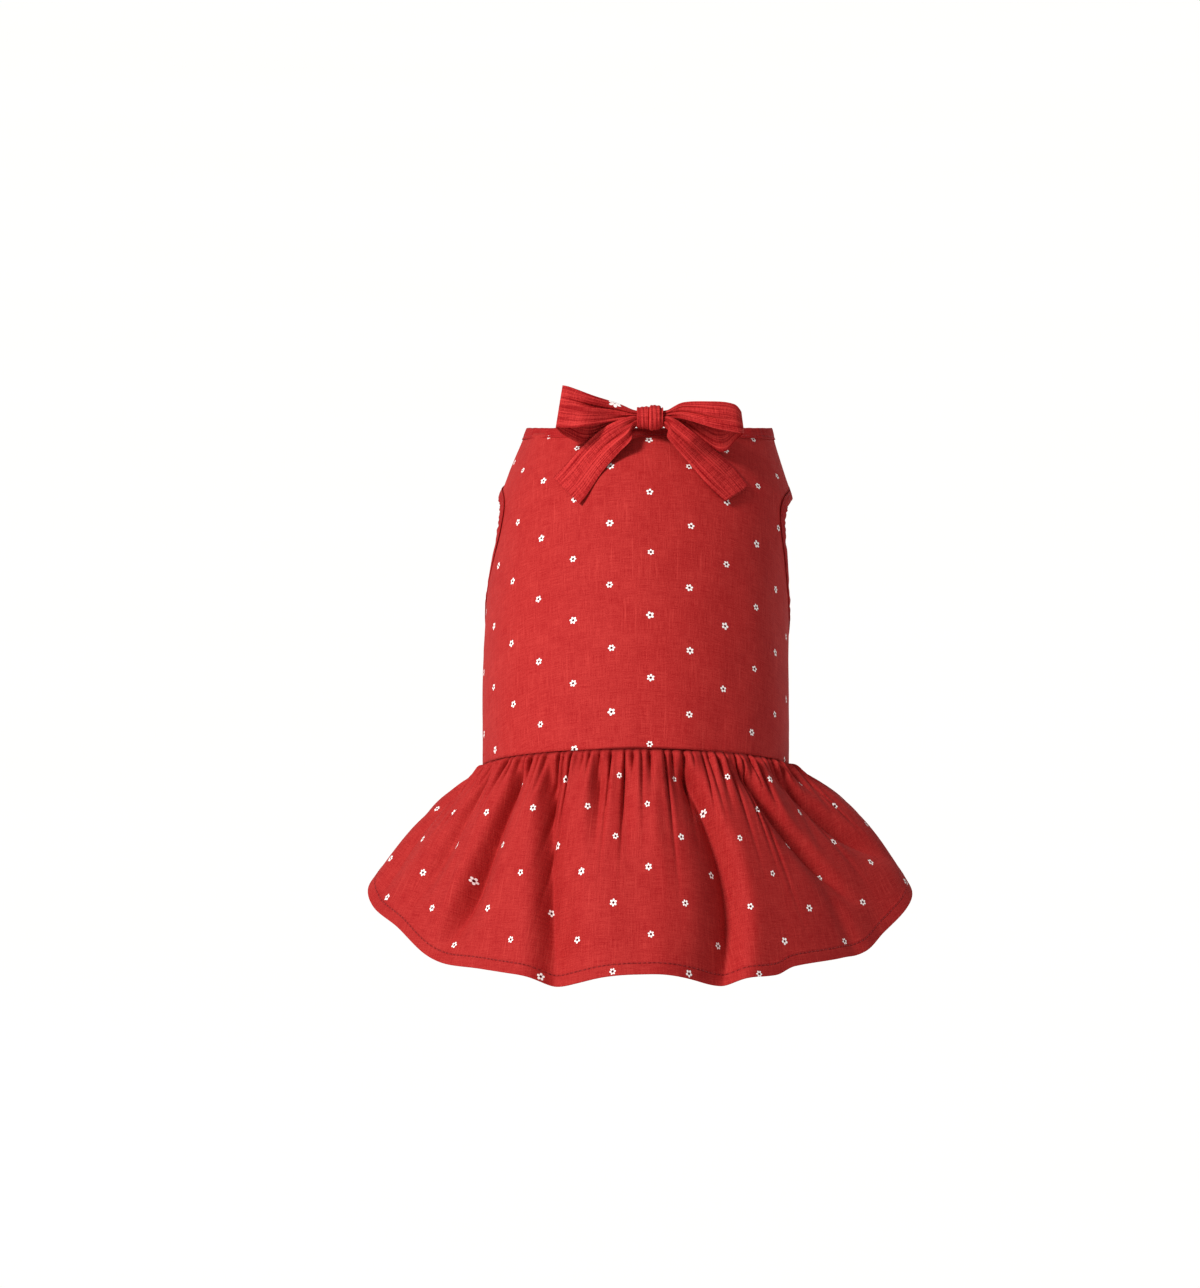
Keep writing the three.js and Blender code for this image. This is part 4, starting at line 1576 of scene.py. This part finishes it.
@dataclass(frozen=True)
class Daisies:
    """The printed flowers: small white daisies in upright rows, each row dropped by half a step."""

    row_gap: float = 0.0287
    step: float = 0.0497
    start: tuple[float, float] = (0.0099, 0.0042)
    radius: float = 0.0027
    centre: float = 0.0008
    wander: float = 0.0014
    white: Colour = (0.97, 0.93, 0.91)
    vein: Colour = (0.80, 0.55, 0.52)
    heart: Colour = (0.12, 0.010, 0.014)
    outline: Colour = (0.20, 0.012, 0.016)
    five_petalled: float = 0.55
    least_size: float = 0.90
    more_size: float = 0.22
    petal_root: float = 0.40
    petal_power: float = 0.65
    fray: float = 0.0005
    ink_edge: Span = (0.00012, 0.00018)
    heart_edge: Span = (0.0003, 0.0001)
    vein_edge: Span = (0.15, 0.75)
    rim_edge: Span = (0.00060, 0.00010)
    rim_strength: float = 0.5

    def draw(self, graph: Graph, u: Expr, v: Expr, ground: Expr) -> tuple[Expr, Expr]:
        """Prints the flowers over the ground colour.

        Args:
            graph: The material's nodes.
            u: Across the cloth, in metres.
            v: Along the cloth, in metres.
            ground: The cloth's colour.

        Returns:
            The printed colour and the mask of the white ink.
        """
        across = (u - self.start[0]) / self.row_gap + 0.5
        column = across.call("FLOOR")
        odd = (column * 0.5).call("FRACT").above(0.25)
        along = (v - self.start[1]) / self.step + 0.5 - odd * 0.5
        row = along.call("FLOOR")
        turn = graph.chance(column, row, 0.5)
        x = (across - column - 0.5) * self.row_gap + (graph.chance(column, row, 7.5) - 0.5) * self.wander
        y = (along - row - 0.5) * self.step + (graph.chance(column, row, 9.5) - 0.5) * self.wander
        reach = (x * x + y * y).call("SQRT")
        angle = y.math("ARCTAN2", y, x) + turn * math.tau
        six = graph.chance(column, row, 3.5).above(self.five_petalled)
        size = self.least_size + self.more_size * graph.chance(column, row, 5.5)
        petal = (angle * (2.5 + six * 0.5)).call("COSINE").call("ABSOLUTE") ** self.petal_power
        frayed = (graph.grain(u, v, FRAY) - 0.5) * self.fray
        edge = size * self.radius * (self.petal_root + (1 - self.petal_root) * petal) + frayed
        white = reach.fade(edge + self.ink_edge[0], edge - self.ink_edge[1])
        heart = reach.fade(self.centre + self.heart_edge[0], self.centre - self.heart_edge[1])
        ink = white * (1.0 - heart)
        petals = graph.mix(petal.fade(*self.vein_edge), self.vein, self.white)
        rim = reach.fade(edge + self.rim_edge[0], edge + self.rim_edge[1]) * self.rim_strength
        printed = graph.mix(ink, graph.mix(rim, ground, self.outline), petals)
        return graph.mix(white * heart, printed, self.heart), ink


@dataclass(frozen=True)
class ClothFinish:
    """Woven cloth with slubs, mottling and a soft sheen, and where wanted streaks with painted light on their
    ribs, a print, a hem or painted shade along the seam.
    """

    name: str
    light: Colour
    dark: Colour
    print: Optional[Daisies] = None
    streaks: float = 0.0
    streaks_across: bool = False
    hem: bool = False
    seam: bool = False
    pitch: float = 0.00052
    thread_tone: float = 0.9
    mottle_tone: float = 0.36
    slub_tones: Span = (0.10, 0.30)
    slub_edge: Span = (0.60, 0.78)
    streak_tone: float = 0.15
    speckle_tone: float = 0.8
    weave_tone: float = 0.03
    weave_height: float = 0.000035
    thread_height: float = 0.000015
    fibre_height: float = 0.00009
    slub_height: float = 0.00007
    ink_height: float = 0.00003
    rib_pitch: float = 0.0019
    rib_drift: float = 2.2
    seam_shade: float = 0.35
    hem_shade: float = 0.4
    hem_inset: float = 0.0080
    hem_fold: Span = (0.0094, 0.0102)
    hem_height: float = 0.00015
    dash_pitch: float = 0.0038
    bump: float = 0.8
    sheen: float = 0.03
    sheen_roughness: float = 0.40
    sheen_tint: Colour = (1.0, 0.70, 0.66)
    roughness: float = 0.74
    gloss: float = 0.12

    def _shaded(self, share: float) -> Colour:
        """Returns the darker colour, darkened further, as the colour of painted shade."""
        return tuple(share * part for part in self.dark)

    def _streaks_and_rib_light(self, graph: Graph, u: Expr, v: Expr) -> tuple[Expr, Expr]:
        """Returns how irregular streaks along the cloth change its tone and its height; the tone is the
        cloth's own slub lines together with painted highlight on raised rib tops and lines and painted shade
        between them.

        Args:
            graph: The material's nodes.
            u: Across the cloth, in metres.
            v: Along the cloth, in metres.

        Returns:
            What is added to the tone and what is added to the height.
        """
        across, lengthwise = (v, u) if self.streaks_across else (u, v)
        drift = graph.grain(u, v, RIB_DRIFT) * self.rib_drift
        rib = (across * (math.tau / self.rib_pitch) + drift).call("SINE")
        lines = graph.grain(across, lengthwise, FINE_LINES)
        broad = graph.grain(across, lengthwise, BROAD_LINES)
        bright_line_and_highlight, dull_line_and_shade = lines.fade(0.55, 0.70), lines.fade(0.47, 0.32)
        # Lighter where the ribs and lines stand high and darker between: slub lines of the cloth with painted
        # highlight and painted shade.
        tone = (bright_line_and_highlight * 1.2 - dull_line_and_shade * 0.9 + rib * 0.25 + (broad - 0.5) * 2.4) * self.streaks
        return tone, rib * 0.00005 + lines * 0.00028

    def _hemmed(self, graph: Graph, colour: Expr, height: Expr) -> tuple[Expr, Expr]:
        """Draws the step of the folded hem and the shade of its stitches.

        Args:
            graph: The material's nodes.
            colour: The colour so far.
            height: The height so far.

        Returns:
            The colour and the height with the hem.
        """
        run, inset = graph.uv("edge")
        fold = inset.fade(*self.hem_fold)
        dash = (run / self.dash_pitch).call("FRACT")
        dash = dash.fade(0.05, 0.20) * dash.fade(0.80, 0.65) * 0.6 + 0.1
        line = (inset - self.hem_inset).call("ABSOLUTE").fade(0.0009, 0.0002) * dash
        colour = graph.mix(line + (1.0 - fold) * 0.06, colour, self._shaded(self.hem_shade))
        return colour, height - fold * self.hem_height

    def build(self) -> bpy.types.Material:
        """Builds the material.

        Returns:
            The material.
        """
        graph = Graph(self.name)
        u, v = graph.uv("cloth")
        warp = graph.grain(u, v, WARP)
        weft = graph.grain(u, v, WEFT)
        slub = graph.grain(u, v, SLUB_ACROSS).fade(*self.slub_edge)
        slub_up = graph.grain(u, v, SLUB_ALONG).fade(*self.slub_edge)
        mottle = graph.grain(u, v, MOTTLE)
        streak = graph.grain(u, v, STREAK_ALONG) + graph.grain(u, v, STREAK_ACROSS)
        speckle = graph.grain(u, v, SPECKLE)
        tone = 0.5 + (warp - 0.5) * self.thread_tone + (weft - 0.5) * self.thread_tone
        tone = tone + (mottle - 0.5) * self.mottle_tone
        tone = tone + slub * self.slub_tones[0] + slub_up * self.slub_tones[1]
        tone = tone + (streak - 1.0) * self.streak_tone + (speckle - 0.5) * self.speckle_tone
        turn = math.tau / (2 * self.pitch)
        over = (u * turn).call("SINE") * (v * turn).call("SINE")
        threads = (u * (2 * turn)).call("SINE") * 0.5 + (v * (2 * turn)).call("SINE") * 0.5
        height = over * self.weave_height + threads * self.thread_height
        height = height + (warp + weft) * self.fibre_height + (slub + slub_up) * self.slub_height
        if self.streaks > 0:
            more_tone, more_height = self._streaks_and_rib_light(graph, u, v)
            tone = tone + more_tone
            height = height + more_height
        tone = tone + over * self.weave_tone
        colour = graph.mix(tone.fade(0.0, 1.0), self.dark, self.light)
        if self.print is not None:
            colour, ink = self.print.draw(graph, u, v, colour)
            height = height + ink * self.ink_height
        # Painted shade along the waist seam: the colour darkens within a few millimetres of the seam line.
        if self.seam:
            shade = v.call("ABSOLUTE").fade(0.0026, 0.0005)
            colour = graph.mix(shade * 0.7, colour, self._shaded(self.seam_shade))
        if self.hem:
            colour, height = self._hemmed(graph, colour, height)
        settings = {"Strength": self.bump, "Distance": 1.0, "Height": height}
        return graph.finish(
            Base_Color=colour,
            Roughness=self.roughness,
            Normal=graph.out(graph.node("ShaderNodeBump", inputs=settings)),
            Sheen_Weight=self.sheen,
            Sheen_Roughness=self.sheen_roughness,
            Sheen_Tint=(*self.sheen_tint, 1.0),
            Specular_IOR_Level=self.gloss,
        )


@dataclass(frozen=True)
class ThreadFinish:
    """Twisted sewing thread."""

    name: str
    colour: Colour
    fibre_scale: float = 1500.0
    dark_share: float = 0.6
    roughness: float = 0.6
    sheen: float = 0.15

    def build(self) -> bpy.types.Material:
        """Builds the material.

        Returns:
            The material.
        """
        graph = Graph(self.name)
        place = graph.out(graph.node("ShaderNodeTexCoord"), "Object")
        scaled = graph.node("ShaderNodeVectorMath", {"operation": "SCALE"}, {0: place, 3: self.fibre_scale})
        streak = graph.noise(graph.out(scaled))
        dark = tuple(self.dark_share * part for part in self.colour)
        colour = graph.mix(streak, dark, self.colour)
        return graph.finish(Base_Color=colour, Roughness=self.roughness, Sheen_Weight=self.sheen)


@dataclass
class Studio:
    """The pale floor, the soft light and the camera behind the dress."""

    floor_drop: float = 0.90
    floor_half: float = 40.0
    floor_shades: tuple[Colour, Colour] = ((0.95, 0.95, 0.95), (0.97, 0.97, 0.97))
    pixel: float = 0.00072
    width_px: int = 1200
    height_px: int = 1288
    seam_px: Span = (637.0, 749.0)
    tip: float = 9.0
    distance: float = 6.0
    sensor: float = 36.0
    farthest: float = 200.0
    key_strength: float = 2.85
    key_colour: Colour = (1.0, 0.985, 0.96)
    key_soft: float = 14.0
    key_aside: float = 48.0
    key_rise: float = 38.0
    world: float = 0.34

    def _floor(self) -> None:
        """Lays the pale floor."""
        low = min(corner[2] for corner in START_BOUNDS) - self.floor_drop
        half = self.floor_half
        mesh = bpy.data.meshes.new("floor")
        corners = [(-half, -half, low), (half, -half, low), (half, half, low), (-half, half, low)]
        mesh.from_pydata(corners, [], [(0, 1, 2, 3)])
        made = add_object("floor", mesh)
        graph = Graph("floor_paper")
        grain = graph.noise(graph.out(graph.node("ShaderNodeTexCoord"), "Object"))
        colour = graph.mix(grain, *self.floor_shades)
        made.data.materials.append(graph.finish(Base_Color=colour, Roughness=0.9, Specular_IOR_Level=0.1))

    def _light(self) -> None:
        """Sets the soft key light, from the upper left behind the dress, and the pale surroundings."""
        lamp = bpy.data.lights.new("key", "SUN")
        lamp.energy = self.key_strength
        lamp.angle = math.radians(self.key_soft)
        lamp.color = self.key_colour
        aside, rise = math.radians(self.key_aside), math.radians(self.key_rise)
        level = math.cos(rise)
        towards = Vector((math.sin(aside) * level, math.cos(aside) * level, -math.sin(rise)))
        add_object("key", lamp).rotation_euler = towards.to_track_quat("-Z", "Y").to_euler()
        world = bpy.data.worlds.new("studio")
        world.use_nodes = True
        shade = next(node for node in world.node_tree.nodes if node.type == "BACKGROUND")
        shade.inputs["Color"].default_value = (1.0, 1.0, 1.0, 1.0)
        shade.inputs["Strength"].default_value = self.world
        bpy.context.scene.world = world

    def _camera(self) -> None:
        """Sets the camera level behind the dress, tipped a little down, as in the photograph."""
        tip = math.radians(self.tip)
        up = Vector((0.0, math.sin(tip), math.cos(tip)))
        ahead = Vector((0.0, math.cos(tip), -math.sin(tip)))
        seam = Vector([float(value) for value in -BODY.neck_centre])
        right = (self.width_px / 2 - self.seam_px[0]) * self.pixel
        rise = (self.seam_px[1] - self.height_px / 2) * self.pixel
        target = seam + Vector((right, 0.0, 0.0)) + up * rise
        data = bpy.data.cameras.new("camera")
        data.sensor_width = self.sensor
        data.lens = self.distance / self.pixel * self.sensor / self.height_px
        data.clip_end = self.farthest
        camera = add_object("camera", data)
        camera.location = target - ahead * self.distance
        camera.rotation_euler = ahead.to_track_quat("-Z", "Y").to_euler()
        bpy.context.scene.camera = camera

    def build(self) -> None:
        """Sets up the whole studio."""
        view = bpy.context.scene.view_settings
        view.view_transform = "Standard"
        view.look = "Medium High Contrast"
        self._floor()
        self._light()
        self._camera()


def main() -> None:
    """Builds the dress and the studio."""
    shades = ((0.505, 0.052, 0.046), (0.320, 0.011, 0.014))
    # The skirt's cloth is the bodice's printed cloth darkened by about six percent, as painted shade.
    skirt_shades_with_painted_shade = ((0.475, 0.049, 0.043), (0.300, 0.010, 0.013))
    pale_shades = ((0.52, 0.064, 0.056), (0.34, 0.015, 0.017))
    binding_shades = ((0.44, 0.034, 0.033), (0.27, 0.005, 0.008))
    bow_shades = ((0.60, 0.056, 0.052), (0.25, 0.004, 0.008))
    faint_red = (0.40, 0.03, 0.03)
    faint = Daisies(white=(0.60, 0.19, 0.17), vein=(0.52, 0.09, 0.08), heart=faint_red, outline=faint_red)
    lone = Daisies(row_gap=1.0, step=1.0, start=(0.0242, 0.1075), radius=0.0050, centre=0.0004, wander=0.0)
    # seam=True paints shade along the waist seam into the cloth's colour.
    reverse = ClothFinish("cloth_reverse", *pale_shades, faint, seam=True).build()
    hem_reverse = ClothFinish("hem_reverse", *pale_shades, faint, hem=True, seam=True).build()
    printed = Cloth(ClothFinish("printed_cloth", *shades, Daisies(), seam=True).build(), reverse)
    hemmed_face = ClothFinish("hemmed_cloth", *skirt_shades_with_painted_shade, Daisies(), hem=True, seam=True).build()
    hemmed = Cloth(hemmed_face, hem_reverse)
    # The bow cloths' streak tone holds painted highlight and painted shade on the ribs.
    streaked = Cloth(ClothFinish("bow_cloth", *bow_shades, streaks=0.34).build())
    flowered = Cloth(ClothFinish("bow_flower_cloth", *bow_shades, lone, streaks=0.34).build())
    wrap = Cloth(ClothFinish("knot_cloth", *bow_shades, streaks=0.30, streaks_across=True).build())
    thread = ThreadFinish("thread", (0.42, 0.016, 0.022)).build()
    pieces = Bodice().build(printed)
    edge = FoldedEdge()
    plain = Cloth(ClothFinish("binding_cloth", *binding_shades).build())
    for side in Side:
        edge.armhole(Armhole(side), plain, thread)
    edge.neck(plain, thread)
    pieces += Skirt().build(hemmed, thread)
    pieces += Bow().build(streaked, flowered, wrap)
    for piece in pieces:
        log.info("%s: %d faces", piece.name, len(piece.data.polygons))
    Studio().build()


if __name__ == "__main__":
    main()
